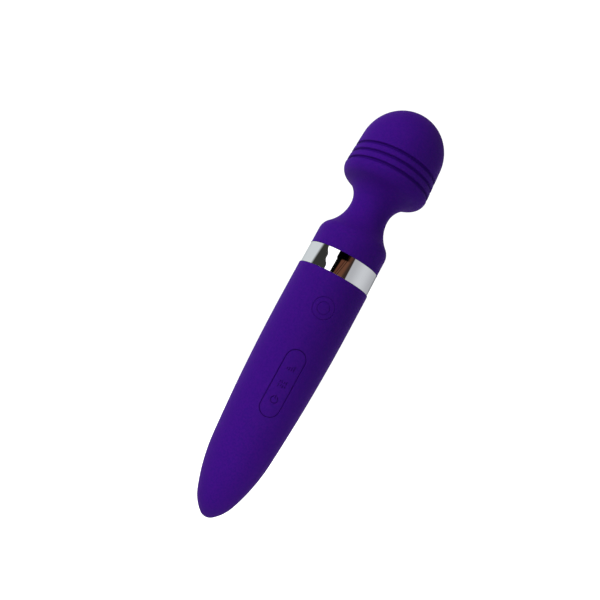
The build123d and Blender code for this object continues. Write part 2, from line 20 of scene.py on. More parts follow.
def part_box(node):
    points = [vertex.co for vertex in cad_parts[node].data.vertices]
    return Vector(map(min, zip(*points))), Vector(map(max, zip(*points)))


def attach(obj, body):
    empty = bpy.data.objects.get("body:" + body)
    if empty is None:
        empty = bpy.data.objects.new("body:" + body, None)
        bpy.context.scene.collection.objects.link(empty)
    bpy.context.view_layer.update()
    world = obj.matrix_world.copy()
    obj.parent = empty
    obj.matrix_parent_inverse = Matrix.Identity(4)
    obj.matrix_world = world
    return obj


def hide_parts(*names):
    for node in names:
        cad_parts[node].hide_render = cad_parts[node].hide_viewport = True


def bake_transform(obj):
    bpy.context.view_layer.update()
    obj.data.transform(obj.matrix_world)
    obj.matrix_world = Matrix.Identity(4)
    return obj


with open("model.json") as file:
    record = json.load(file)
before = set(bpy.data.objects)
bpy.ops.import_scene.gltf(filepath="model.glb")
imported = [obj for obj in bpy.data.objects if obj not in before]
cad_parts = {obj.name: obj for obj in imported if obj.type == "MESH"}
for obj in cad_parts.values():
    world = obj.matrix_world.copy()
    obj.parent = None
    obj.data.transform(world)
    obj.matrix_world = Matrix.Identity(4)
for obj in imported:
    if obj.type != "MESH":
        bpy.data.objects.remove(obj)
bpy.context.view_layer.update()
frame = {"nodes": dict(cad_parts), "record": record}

LOG = logging.getLogger("wand")
MM = 0.001
SHARP_ANGLE = radians(40)
BAR_HALF = 0.2                     # half the width of a pressed bar
BAR_PITCH = 1.12                   # from one pressed bar to the next
COARSE_SHARE = 0.22                # the coarse grain's scale as a share of the fine grain's
WELD = 0.004                       # mm within which two surfaces' edges are one


def node_span(node: str) -> tuple[np.ndarray, np.ndarray]:
    """The lowest and highest corners of a CAD node, in millimetres."""
    low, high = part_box(node)
    return np.array(low) / MM, np.array(high) / MM


def smooth_step(value: np.ndarray, low: float, high: float) -> np.ndarray:
    """0 below low and 1 above high, with an S-curve 3t^2 - 2t^3 between them."""
    share = np.clip((value - low) / (high - low), 0.0, 1.0)
    return share * share * (3.0 - 2.0 * share)


# ----------------------------------------------------------------------------------------------------------
# Meshes
# ----------------------------------------------------------------------------------------------------------


@dataclass(frozen=True)
class Outline:
    """A smooth path in the (radius, height) plane, made of straight runs and tangent arcs.

    Attributes:
        start: where the path begins.
        heading: its first direction in degrees, with 0 outwards and 90 upwards.
        steps: (length, 0) for a straight run or (radius, turn) for an arc; a turn to the left is positive.
    """

    start: tuple[float, float]
    heading: float
    steps: tuple[tuple[float, float], ...]

    def sample(self, spacing: float, inset: float = 0.0) -> np.ndarray:
        """Points along the path, moved to its left by inset.

        An arc's point is its centre plus its radius times the direction away from the centre, at evenly
        spaced angles.

        Args:
            spacing: the longest distance between two points.
            inset: how far to move the path to its left.

        Returns:
            An array of (radius, height) rows.
        """
        angle = radians(self.heading)
        left = np.array([-sin(angle), cos(angle)])
        point = np.array(self.start, float) + inset * left
        rows = [point[None, :]]
        for size, turn in self.steps:
            if turn == 0:
                count = max(2, int(np.ceil(size / spacing)) + 1)
                share = np.linspace(0, 1, count)[1:, None]
                run = point + share * size * np.array([cos(angle), sin(angle)])
            else:
                side = 1.0 if turn > 0 else -1.0
                reach = size - side * inset
                count = max(4, int(np.ceil(abs(radians(turn)) * size / spacing)) + 1)
                at = angle + np.linspace(0, radians(turn), count)[1:]
                centre = point + side * reach * np.array([-sin(angle), cos(angle)])
                run = centre - side * reach * np.stack([-np.sin(at), np.cos(at)], 1)
                angle += radians(turn)
            rows.append(run)
            point = run[-1]
        return np.concatenate(rows)

    def end(self) -> np.ndarray:
        """The last point of the path."""
        return self.sample(1.0)[-1]


class MeshBuilder:
    """Collects grids of points and joins them into one mesh object."""

    def __init__(self, name: str) -> None:
        """Starts an empty mesh called name."""
        self.name = name
        self.points: list[np.ndarray] = []
        self.faces: list[np.ndarray] = []
        self.recess_shade: list[np.ndarray] = []
        self.count = 0

    def add_grid(self, grid: np.ndarray, wrap: bool = False, flip: bool = False,
                 keep: np.ndarray | None = None, recess_shade: np.ndarray | float = 0.0) -> None:
        """Adds a grid of points as quads.

        Args:
            grid: points in millimetres, of shape (rows, columns, 3).
            wrap: whether the last column joins the first.
            flip: whether the quads are turned over.
            keep: one flag for each quad, False where there is a hole.
            recess_shade: how far each point lies in a groove, from 0 to 1, which sets how much painted shade
                its colour gets.
        """
        rows, columns = grid.shape[:2]
        index = np.arange(rows * columns).reshape(rows, columns) + self.count
        if wrap:
            index = np.concatenate([index, index[:, :1]], 1)
        quads = np.stack([index[:-1, :-1], index[:-1, 1:], index[1:, 1:], index[1:, :-1]], -1)
        if keep is not None:
            quads = quads[keep]
        quads = quads.reshape(-1, 4)
        self.faces.append(quads[:, ::-1] if flip else quads)
        self.points.append(grid.reshape(-1, 3))
        self.recess_shade.append(np.broadcast_to(recess_shade, (rows, columns)).ravel())
        self.count += rows * columns

    def finish(self, closed: bool = True) -> bpy.types.Object:
        """Makes the object, with doubles merged and faces pointing outwards.

        Args:
            closed: whether the surface closes on itself, so that its faces can be turned outwards.

        Returns:
            The new object, in metres.
        """
        points = np.concatenate(self.points)
        faces = np.concatenate(self.faces)
        mesh = bpy.data.meshes.new(self.name)
        mesh.from_pydata(points * MM, [], faces.tolist())
        # Stores the painted shade weights as a point attribute. The silicone darkens its colour by them in
        # grooves, pressed marks and gaps.
        mesh.attributes.new("recess_shade", "FLOAT", "POINT").data.foreach_set("value", np.concatenate(self.recess_shade))
        work = bmesh.new()
        work.from_mesh(mesh)
        bmesh.ops.remove_doubles(work, verts=work.verts, dist=WELD * MM)
        bmesh.ops.dissolve_degenerate(work, dist=WELD * MM * 0.1, edges=work.edges)
        if closed:
            bmesh.ops.recalc_face_normals(work, faces=work.faces)
        work.to_mesh(mesh)
        work.free()
        mesh.polygons.foreach_set("use_smooth", np.ones(len(mesh.polygons), bool))
        mesh.set_sharp_from_angle(angle=SHARP_ANGLE)
        mesh.update()
        made = bpy.data.objects.new(self.name, mesh)
        bpy.context.scene.collection.objects.link(made)
        return made


def turn_grid(profile: np.ndarray, angles: np.ndarray) -> np.ndarray:
    """Carries a (radius, height) profile round the Z axis.

    A point is (radius sin a, -radius cos a, height), so angle 0 faces -Y.

    Args:
        profile: rows of (radius, height).
        angles: the angles of the columns, in radians.

    Returns:
        Points of shape (profile rows, angles, 3).
    """
    radius, height = profile[:, :1], profile[:, 1:]
    level = np.broadcast_to(height, (len(profile), len(angles)))
    return np.stack([radius * np.sin(angles), -radius * np.cos(angles), level], -1)


def full_turn(count: int) -> np.ndarray:
    """Evenly spaced angles of a whole turn, without the repeated last one."""
    return np.linspace(-pi, pi, count, endpoint=False)


def rounded_rim(corner: np.ndarray, before: np.ndarray, after: np.ndarray, radius: float) -> np.ndarray:
    """A quarter-round between two directions at a corner of a profile.

    The points run on a quadratic curve from the corner less radius along before to radius along after.

    Args:
        corner: the sharp corner's (radius, height).
        before: the unit direction in which the profile comes to the corner.
        after: the unit direction in which it leaves.
        radius: how far from the corner the rounding starts.

    Returns:
        Rows of (radius, height).
    """
    share = np.linspace(0, 1, 9)[:, None]
    first, last = corner - radius * before, corner + radius * after
    return (1 - share) ** 2 * first + 2 * share * (1 - share) * corner + share ** 2 * last


# ----------------------------------------------------------------------------------------------------------
# The silicone's shape
# ----------------------------------------------------------------------------------------------------------


@dataclass(frozen=True)
class WandShape:
    """The outlines and heights that the silicone pieces share."""

    grip_r: float = 19.9
    tail_arcs: tuple[tuple[float, float], ...] = ((5.7, 40.2), (23.2, 28.8), (99.5, 16.3))
    shoulder_r: float = 19.3
    shoulder_edge: float = 157.0
    upper_arcs: tuple[tuple[float, float], ...] = (
        (7.6, 46.7), (19.2, -46.7), (12.8, -64.4), (2.05, 0), (6.6, 67.7), (17.6, 0))
    handle_skin: float = 1.6
    upper_skin: float = 1.8

    @property
    def ring_low(self) -> float:
        """The height of the ring's lower face."""
        return node_span("plated_ring")[0][2]

    @property
    def ring_high(self) -> float:
        """The height of the ring's upper face."""
        return node_span("plated_ring")[1][2]

    @property
    def waist(self) -> float:
        """The height of the narrowest part of the neck."""
        return Outline((self.shoulder_r, self.shoulder_edge), 90, self.upper_arcs[:2]).end()[1]

    def handle(self) -> Outline:
        """The outside of the handle, from the tail's tip to the ring."""
        turned = sum(turn for _, turn in self.tail_arcs)
        reached = Outline((0.0, 0.0), 0.0, self.tail_arcs).end()[0]
        side_r = (self.grip_r - reached) / (1 - sin(radians(turned)))
        arcs = self.tail_arcs + ((side_r, 90 - turned),)
        straight = self.ring_low - Outline((0.0, 0.0), 0.0, arcs).end()[1]
        return Outline((0.0, 0.0), 0.0, arcs + ((straight, 0),))

    def upper(self) -> Outline:
        """The outside of the shoulder, the neck and the head, up to the top of the dome."""
        start = (self.shoulder_r, self.ring_high)
        taper = sum(turn for _, turn in self.upper_arcs)
        steps = ((self.shoulder_edge - self.ring_high, 0),) + self.upper_arcs
        dome_r = Outline(start, 90, steps).end()[0] / cos(radians(taper))
        return Outline(start, 90, steps + ((dome_r, 90 - taper),))


class Relief(Enum):
    """How a mark is pressed into the silicone: its depth and the width of its soft edge, in millimetres."""

    ICON = (0.5, 0.1)
    MAKER = (0.22, 0.22)

    @property
    def depth(self) -> float:
        """How deep the floor of the mark lies."""
        return self.value[0]

    @property
    def edge(self) -> float:
        """How wide the slope at the mark's edge is."""
        return self.value[1]

    def press(self, outside: np.ndarray) -> np.ndarray:
        """The depth at points whose distance outside the mark is given, negative inside it."""
        return self.depth * (1.0 - smooth_step(outside, -self.edge / 2, self.edge / 2))


def bar_distance(x: np.ndarray, z: np.ndarray, centre: tuple[float, float], half: tuple[float, float],
                 turn: float = 0.0) -> np.ndarray:
    """The distance to a bar with round corners: the length beyond its inner box, less its rounding.

    Args:
        x: sideways positions.
        z: heights.
        centre: the bar's middle.
        half: its half width and half height.
        turn: how far it leans, in degrees.

    Returns:
        The signed distance at each point, negative inside.
    """
    lean = radians(turn)
    across = (x - centre[0]) * cos(lean) - (z - centre[1]) * sin(lean)
    along = (x - centre[0]) * sin(lean) + (z - centre[1]) * cos(lean)
    rounding = min(half) * 0.9
    beyond = np.stack([np.abs(across) - half[0] + rounding, np.abs(along) - half[1] + rounding])
    outer = np.hypot(*np.maximum(beyond, 0.0))
    return outer + np.minimum(beyond.max(0), 0.0) - rounding


def ring_distance(x: np.ndarray, z: np.ndarray, radius: float, half: float, gap: float) -> np.ndarray:
    """The distance to a round line with a gap at its top and round ends.

    Args:
        x: sideways positions from the line's centre.
        z: heights from it.
        radius: the line's radius.
        half: half its width.
        gap: half the gap's angle, in degrees.

    Returns:
        The signed distance at each point, negative inside.
    """
    around = np.arctan2(x, z)
    line = np.abs(np.hypot(x, z) - radius)
    tip = radians(gap)
    ends = np.hypot(np.abs(x) - radius * sin(tip), z - radius * cos(tip))
    return np.where(np.abs(around) < tip, ends, line) - half


class Icon(Enum):
    """The sign pressed into each button."""

    LEVEL = "level"
    MODE = "mode"
    POWER = "power"

    def distance(self, x: np.ndarray, z: np.ndarray) -> np.ndarray:
        """The signed distance to the sign.

        Args:
            x: sideways positions from the sign's centre, in millimetres.
            z: heights from it.

        Returns:
            The distance at each point, negative inside the sign.
        """
        if self is Icon.POWER:
            ring_r, ring_half, gap_angle = 1.75, 0.21, 33.0
            stroke = bar_distance(x, z, (0.0, 1.4), (BAR_HALF, 0.75))
            return np.minimum(ring_distance(x, z, ring_r, ring_half, gap_angle), stroke)
        bars = []
        if self is Icon.LEVEL:
            foot, heights = -1.35, (1.3, 1.7, 2.1, 2.7)
            for k, tall in enumerate(heights):
                bars.append(((k - 1.5) * BAR_PITCH, foot + tall / 2, tall / 2))
        else:
            gap, short, tall = 0.36, 1.0, 1.5
            for k in range(4):
                upper, lower = (short, tall) if k % 2 == 0 else (tall, short)
                across = (k - 1.5) * BAR_PITCH
                bars += [(across, gap + upper / 2, upper / 2), (across, -gap - lower / 2, lower / 2)]
        return np.min([bar_distance(x, z, (across, middle), (BAR_HALF, half))
                       for across, middle, half in bars], 0)


@dataclass
class ControlPanel:
    """The stadium-shaped panel on the front of the handle, with its three pressed signs.

    The panel is made of pads that ride on the buttons, with plain strips between them and a round piece at
    each end.
    """

    shape: WandShape
    groove_floor: float = 0.42
    groove_depth: float = 0.6
    lip: float = 0.13
    pad_thickness: float = 0.9
    column_spacing: float = 0.085
    row_spacing: float = 0.085
    strip_spacing: float = 0.22
    # How much painted shade darkens the floor of a pressed sign, as a share of the full recess shade.
    icon_painted_shade: float = 0.8
    button_half: float = 2.15
    wall_clearance: float = 0.03
    floor_bevel: float = 0.06
    end_columns: int = 97
    outline_spacing: float = 0.5
    low: float = field(init=False)
    high: float = field(init=False)
    half_width: float = field(init=False)

    def __post_init__(self) -> None:
        """Reads the panel's place from the pads of the frame."""
        bottom, _ = node_span("power_pad")
        _, top = node_span("level_pad")
        self.low, self.high = bottom[2], top[2]
        self.half_width = node_span("mode_pad")[1][0]

    @property
    def window_half(self) -> float:
        """Half the width of the window in the handle's silicone."""
        return self.half_width + self.groove_floor

    def button_height(self, name: str) -> float:
        """The height of the middle of a button's key."""
        low, high = node_span(name + "_key")
        return (low[2] + high[2]) / 2

    def on_surface(self, x: np.ndarray, z: np.ndarray, depth: np.ndarray | float = 0.0) -> np.ndarray:
        """Points on the front of the handle: y is minus the root of (radius - depth)^2 - x^2.

        Args:
            x: sideways positions.
            z: heights.
            depth: how far below the outside each point lies.

        Returns:
            Points of shape (..., 3).
        """
        outline = self.shape.handle().sample(self.outline_spacing)
        radius = np.interp(z, outline[:, 1], outline[:, 0]) - depth
        return np.stack([x, -np.sqrt(radius ** 2 - x ** 2), z], -1)

    def rim_drop(self, inside: np.ndarray) -> np.ndarray:
        """How far the rim rounds down at a distance inside its edge: a quarter circle of the lip's radius."""
        short = np.clip(1.0 - inside / self.lip, 0.0, 1.0)
        return self.lip * (1.0 - np.sqrt(1.0 - short ** 2))

    def columns(self) -> np.ndarray:
        """Sideways positions across the panel, closer together at the rim."""
        flat = self.half_width - self.lip
        count = int(np.ceil(2 * flat / self.column_spacing / 2)) * 2 + 1
        middle = np.linspace(-flat, flat, count)
        edge = flat + self.lip * np.sin(np.linspace(0, pi / 2, 6)[1:])
        return np.concatenate([-edge[::-1], middle, edge])

    def strip(self, name: str, low: float, high: float, icon: Icon | None = None,
              middle: float = 0.0) -> bpy.types.Object:
        """A straight stretch of the panel between two heights, as a closed pad.

        Args:
            name: the piece's name.
            low: its lower height.
            high: its upper height.
            icon: the sign pressed in it, if it has one.
            middle: the height of the sign's centre.

        Returns:
            The new object.
        """
        spacing = self.row_spacing if icon else self.strip_spacing
        rows = np.linspace(low, high, max(3, int((high - low) / spacing) + 1))
        x, z = np.meshgrid(self.columns(), rows)
        pressed = Relief.ICON.press(icon.distance(x, z - middle)) if icon else np.zeros_like(x)
        top = self.on_surface(x, z, self.rim_drop(self.half_width - np.abs(x)) + pressed)
        under = self.on_surface(x, z, self.pad_thickness)
        mesh = MeshBuilder(name)
        # The pressed sign gets painted shade in proportion to its depth.
        self.close_slab(mesh, top, under, pressed / Relief.ICON.depth * self.icon_painted_shade)
        return mesh.finish()

    @staticmethod
    def close_slab(mesh: MeshBuilder, top: np.ndarray, under: np.ndarray, recess_shade: np.ndarray) -> None:
        """Adds a slab: its two faces and the four walls between their borders.

        Args:
            mesh: the mesh that takes the slab.
            top: the outer face's points.
            under: the inner face's points, of the same shape.
            recess_shade: how far each outer point lies in a mark, from 0 to 1, which sets how much painted
                shade it gets.
        """
        mesh.add_grid(top, recess_shade=recess_shade)
        mesh.add_grid(under, flip=True)
        # Each wall gets painted shade that deepens from the outer face to the inner one.
        for edge in (np.s_[0, :], np.s_[-1, :], np.s_[:, 0], np.s_[:, -1]):
            mesh.add_grid(np.stack([top[edge], under[edge]]), recess_shade=np.array([[0.0], [1.0]]))

    def cap(self, name: str, middle: float, tip: int, reach: float) -> bpy.types.Object:
        """A round end of the panel with the plain stretch beside it, as a closed pad.

        The rows of the straight stretch shrink round the end's centre: each column becomes a half circle
        from its own place on one side to its place on the other.

        Args:
            name: the piece's name.
            middle: the height of the round end's centre.
            tip: 1 for the upper end, -1 for the lower one.
            reach: the height at which the plain stretch ends.

        Returns:
            The new object.
        """
        columns = self.columns()
        radii = columns[columns >= 0]
        angles = np.linspace(-pi / 2, pi / 2, self.end_columns)
        x = radii[:, None] * np.sin(angles)[None, :]
        z = middle + tip * radii[:, None] * np.cos(angles)[None, :]
        depth = np.broadcast_to(self.rim_drop(self.half_width - radii)[:, None], x.shape)
        top, under = self.on_surface(x, z, depth), self.on_surface(x, z, self.pad_thickness)
        mesh = MeshBuilder(name)
        mesh.add_grid(top)
        mesh.add_grid(under, flip=True)
        # The rim's wall gets painted shade that deepens from the outer face to the inner one.
        mesh.add_grid(np.stack([top[-1], under[-1]]), recess_shade=np.array([[0.0], [1.0]]))
        rows = np.linspace(middle, reach, max(3, int(abs(reach - middle) / self.strip_spacing) + 1))
        flat_x, flat_z = np.meshgrid(columns, rows)
        drop = self.rim_drop(self.half_width - np.abs(flat_x))
        top = self.on_surface(flat_x, flat_z, drop)
        under = self.on_surface(flat_x, flat_z, self.pad_thickness)
        mesh.add_grid(top)
        mesh.add_grid(under, flip=True)
        # Each wall gets painted shade that deepens from the outer face to the inner one.
        for edge in (np.s_[-1, :], np.s_[:, 0], np.s_[:, -1]):
            mesh.add_grid(np.stack([top[edge], under[edge]]), recess_shade=np.array([[0.0], [1.0]]))
        return mesh.finish()

    def build(self, finish: bpy.types.Material) -> list[bpy.types.Object]:
        """Makes the whole panel and fastens each pad to its button.

        Args:
            finish: the silicone.

        Returns:
            The pieces.
        """
        names = ("level", "mode", "power")
        heights = {name: self.button_height(name) for name in names}
        half = self.button_half
        pieces = []
        for name in names:
            middle = heights[name]
            pad = self.strip(f"{name}_pad_face", middle - half, middle + half, Icon(name), middle)
            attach(pad, f"{name}_button")
            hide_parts(f"{name}_pad")
            pieces.append(pad)
        for upper, lower in zip(names, names[1:]):
            top, bottom = heights[upper] - half, heights[lower] + half
            centre = (top + bottom) / 2
            for body, low, high in ((upper, centre, top), (lower, bottom, centre)):
                piece = self.strip(f"panel_web_{body}_{'low' if body == upper else 'high'}", low, high)
                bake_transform(piece)
                pieces.append(piece)
        for name, tip, end in (("level", 1, self.high), ("power", -1, self.low)):
            middle = end - tip * self.half_width
            reach = heights[name] + tip * half
            piece = self.cap(f"panel_end_{name}", middle, tip, reach)
            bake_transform(piece)
            pieces.append(piece)
        for piece in pieces:
            piece.data.materials.append(finish)
        return pieces


@dataclass
class HandleSkin:
    """The handle's silicone, with the window for the panel and a small pressed ring as its mark."""

    shape: WandShape
    panel: ControlPanel
    front_half_angle: float = 30.0
    front_columns: int = 132
    back_columns: int = 60
    lip: float = 0.45
    plug_hole_r: float = 1.5
    mark_height: float = 119.5
    mark_half_height: float = 8.5
    # How much painted shade darkens the floor of the pressed ring mark.
    mark_painted_shade: float = 0.6
    row_counts: tuple[int, ...] = (28, 44, 14, 112, 8)
    inner_step: int = 4
    tail_top: float = 24.0
    patch_margin: float = 3.0
    mark_lines: tuple[tuple[float, float], ...] = ((5.6, 0.19), (3.1, 0.17))
    ring_gap: float = 0.04
    fine_spacing: float = 0.15
    tail_spacing: float = 0.4

    def heights(self) -> tuple[np.ndarray, int, int]:
        """Chooses the rows: close together at the tail and the mark, wider between.

        Returns:
            The rows' heights, and the numbers of the rows between which the panel's patch lies.
        """
        outline = self.shape.handle().sample(self.tail_spacing)
        low, high = self.panel.low - self.patch_margin, self.panel.high + self.patch_margin
        mark_low = self.mark_height - self.mark_half_height
        mark_high = self.mark_height + self.mark_half_height
        start = np.interp(self.plug_hole_r, outline[:, 0], outline[:, 1])
        tail = outline[(outline[:, 1] > start) & (outline[:, 1] < self.tail_top), 1]
        stops = (self.tail_top, low, high, mark_low, mark_high, self.shape.ring_low - self.lip)
        runs = [np.linspace(*ends, count) for *ends, count in zip(stops, stops[1:], self.row_counts)]
        parts = [np.array([start]), tail, runs[0]] + [run[1:] for run in runs[1:]]
        rows = np.unique(np.round(np.concatenate(parts), 6))
        return rows, int(np.argmin(np.abs(rows - low))), int(np.argmin(np.abs(rows - high)))

    def angles(self) -> np.ndarray:
        """The columns' angles: close together across the front, wider round the back."""
        reach = radians(self.front_half_angle)
        front = np.linspace(-reach, reach, self.front_columns + 1)
        back = np.linspace(reach, 2 * pi - reach, self.back_columns + 1)[1:-1]
        return np.concatenate([front, back])

    def radius(self, z: np.ndarray) -> np.ndarray:
        """The handle's radius at each height."""
        outline = self.shape.handle().sample(self.fine_spacing)
        return np.interp(z, outline[:, 1], outline[:, 0])

    def mark_distance(self, x: np.ndarray, z: np.ndarray) -> np.ndarray:
        """The signed distance to the plain mark: circles about one centre, each a radius and a half width."""
        reach = np.hypot(x, z)
        return np.min([np.abs(reach - radius) - half for radius, half in self.mark_lines], 0)

    def window_patch(self, angles: np.ndarray, rows: np.ndarray) -> np.ndarray:
        """The stretch round the window, as rings that shrink from a rectangle to the stadium.

        Each border point is joined to the nearest point of the stadium's spine, and the rings lie along that
        line: first over the surface, then round the lip, down the groove's wall, across its floor and down to
        the inner face.

        Args:
            angles: the angles of the front columns.
            rows: the heights of the patch's rows.

        Returns:
            Points of shape (rings, border points, 3).
        """
        low, high = rows[0], rows[-1]
        bottom = np.stack([angles, np.full(len(angles), low)], 1)
        right = np.stack([np.full(len(rows), angles[-1]), rows], 1)
        border = np.concatenate([bottom[:-1], right[:-1], (bottom + [0, high - low])[:0:-1],
                                 (right - [2 * angles[-1], 0])[:0:-1]])
        z = border[:, 1]
        x = self.radius(z) * np.sin(border[:, 0])
        window = self.panel.window_half
        foot = np.clip(z, self.panel.low + self.panel.half_width, self.panel.high - self.panel.half_width)
        away = np.stack([x, z - foot], 1)
        reach = np.hypot(away[:, 0], away[:, 1])
        direction = away / reach[:, None]
        lip = self.panel.lip
        rings = [(reach, 0.0)]
        rings += [(reach + (window + lip - reach) * share, 0.0) for share in np.linspace(0, 1, 9)[1:] ** 0.8]
        rings += [(window + lip - lip * sin(at), lip * (1 - cos(at))) for at in np.linspace(0, pi / 2, 7)[1:]]
        floor, hidden, bevel = self.panel.groove_depth, self.shape.handle_skin, self.panel.floor_bevel
        wall = self.panel.half_width + self.panel.wall_clearance
        rings += [(window, floor - bevel), (window - bevel, floor), (wall, floor), (wall, hidden)]
        grid = []
        for out, depth in rings:
            at_x, at_z = direction[:, 0] * out, foot + direction[:, 1] * out
            grid.append(self.panel.on_surface(at_x, at_z, depth))
        return np.stack(grid)

    def inner_patch(self, angles: np.ndarray, rows: np.ndarray, window: np.ndarray) -> np.ndarray:
        """The inner face round the window, from its last ring out to the same rectangle, set inwards.

        Args:
            angles: the angles of the front columns.
            rows: the heights of the patch's rows.
            window: the last ring of the outer patch.

        Returns:
            Points of shape (rings, border points, 3).
        """
        outer = self.window_patch(angles, rows)[0]
        radius = np.hypot(outer[:, 0], outer[:, 1])
        scale = (radius - self.shape.handle_skin) / radius
        inner = outer * np.stack([scale, scale, np.ones_like(scale)], 1)
        share = np.linspace(0, 1, 6)[:, None, None]
        flat = window[None] * (1 - share) + inner[None] * share
        depth = self.radius(flat[..., 2]) - self.shape.handle_skin
        angle = np.arctan2(flat[..., 0], -flat[..., 1])
        return np.stack([depth * np.sin(angle), -depth * np.cos(angle), flat[..., 2]], -1)

    def build(self, finish: bpy.types.Material) -> bpy.types.Object:
        """Makes the skin as one closed shell and fastens it to the handle.

        Args:
            finish: the silicone.

        Returns:
            The new object.
        """
        rows, first, last = self.heights()
        angles = self.angles()
        radius = self.radius(rows)
        grid = turn_grid(np.stack([radius, rows], 1), angles)
        near = np.where(angles > pi, angles - 2 * pi, angles)
        flat_x = radius[:, None] * near[None, :]
        pressed = Relief.MAKER.press(self.mark_distance(flat_x, rows[:, None] - self.mark_height))
        scale = 1.0 - pressed / np.maximum(radius[:, None], 1.0)
        grid[..., 0] *= scale
        grid[..., 1] *= scale
        hole = np.ones((len(rows) - 1, len(angles)), bool)
        hole[first:last, :self.front_columns] = False
        mesh = MeshBuilder("handle_skin")
        # The pressed ring mark gets painted shade in proportion to its depth.
        mesh.add_grid(grid, wrap=True, keep=hole, recess_shade=pressed / Relief.MAKER.depth * self.mark_painted_shade)
        front = angles[:self.front_columns + 1]
        patch = self.window_patch(front, rows[first:last + 1])
        depth = self.radius(patch[..., 2]) - np.hypot(patch[..., 0], patch[..., 1])
        # The groove round the panel's window gets painted shade that deepens below its lip.
        mesh.add_grid(patch, wrap=True, flip=True,
                      recess_shade=smooth_step(depth, self.panel.lip * 0.7, self.panel.groove_depth * 0.8))

        inner_radius = radius - self.shape.handle_skin
        start = int(np.argmax(inner_radius > self.plug_hole_r))
        inner = np.stack([inner_radius, rows], 1)
        step, count = self.inner_step, len(rows)
        picked = np.unique(np.concatenate([np.arange(start, first, step), np.arange(first, last + 1),
                                           np.arange(last, count, step), [count - 1]]))
        mesh.add_grid(turn_grid(inner[picked], angles), wrap=True, flip=True, keep=hole[picked[:-1]])
        mesh.add_grid(self.inner_patch(front, rows[first:last + 1], patch[-1]), wrap=True)

        top = self.rim(rows[-1], radius[-1])
        mesh.add_grid(turn_grid(top, angles), wrap=True)
        hole_wall = np.array([[radius[0], rows[0]], [inner_radius[start], rows[start]]])
        mesh.add_grid(turn_grid(hole_wall, angles), wrap=True, flip=True)
        made = mesh.finish()
        made.data.materials.append(finish)
        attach(made, "handle")
        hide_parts("handle_sleeve")
        return made

    def rim(self, last_row: float, radius: float) -> np.ndarray:
        """The profile of the upper edge: a rounding from the side to the face under the ring, then inwards.

        Args:
            last_row: the height of the side's last row.
            radius: the side's radius there.

        Returns:
            Rows of (radius, height).
        """
        top = self.shape.ring_low - self.ring_gap
        corner = np.array([radius, top])
        bend = rounded_rim(corner, np.array([0.0, 1.0]), np.array([-1.0, 0.0]), top - last_row)
        inner = radius - self.shape.handle_skin
        return np.concatenate([bend, [[inner, top], [inner, last_row]]])


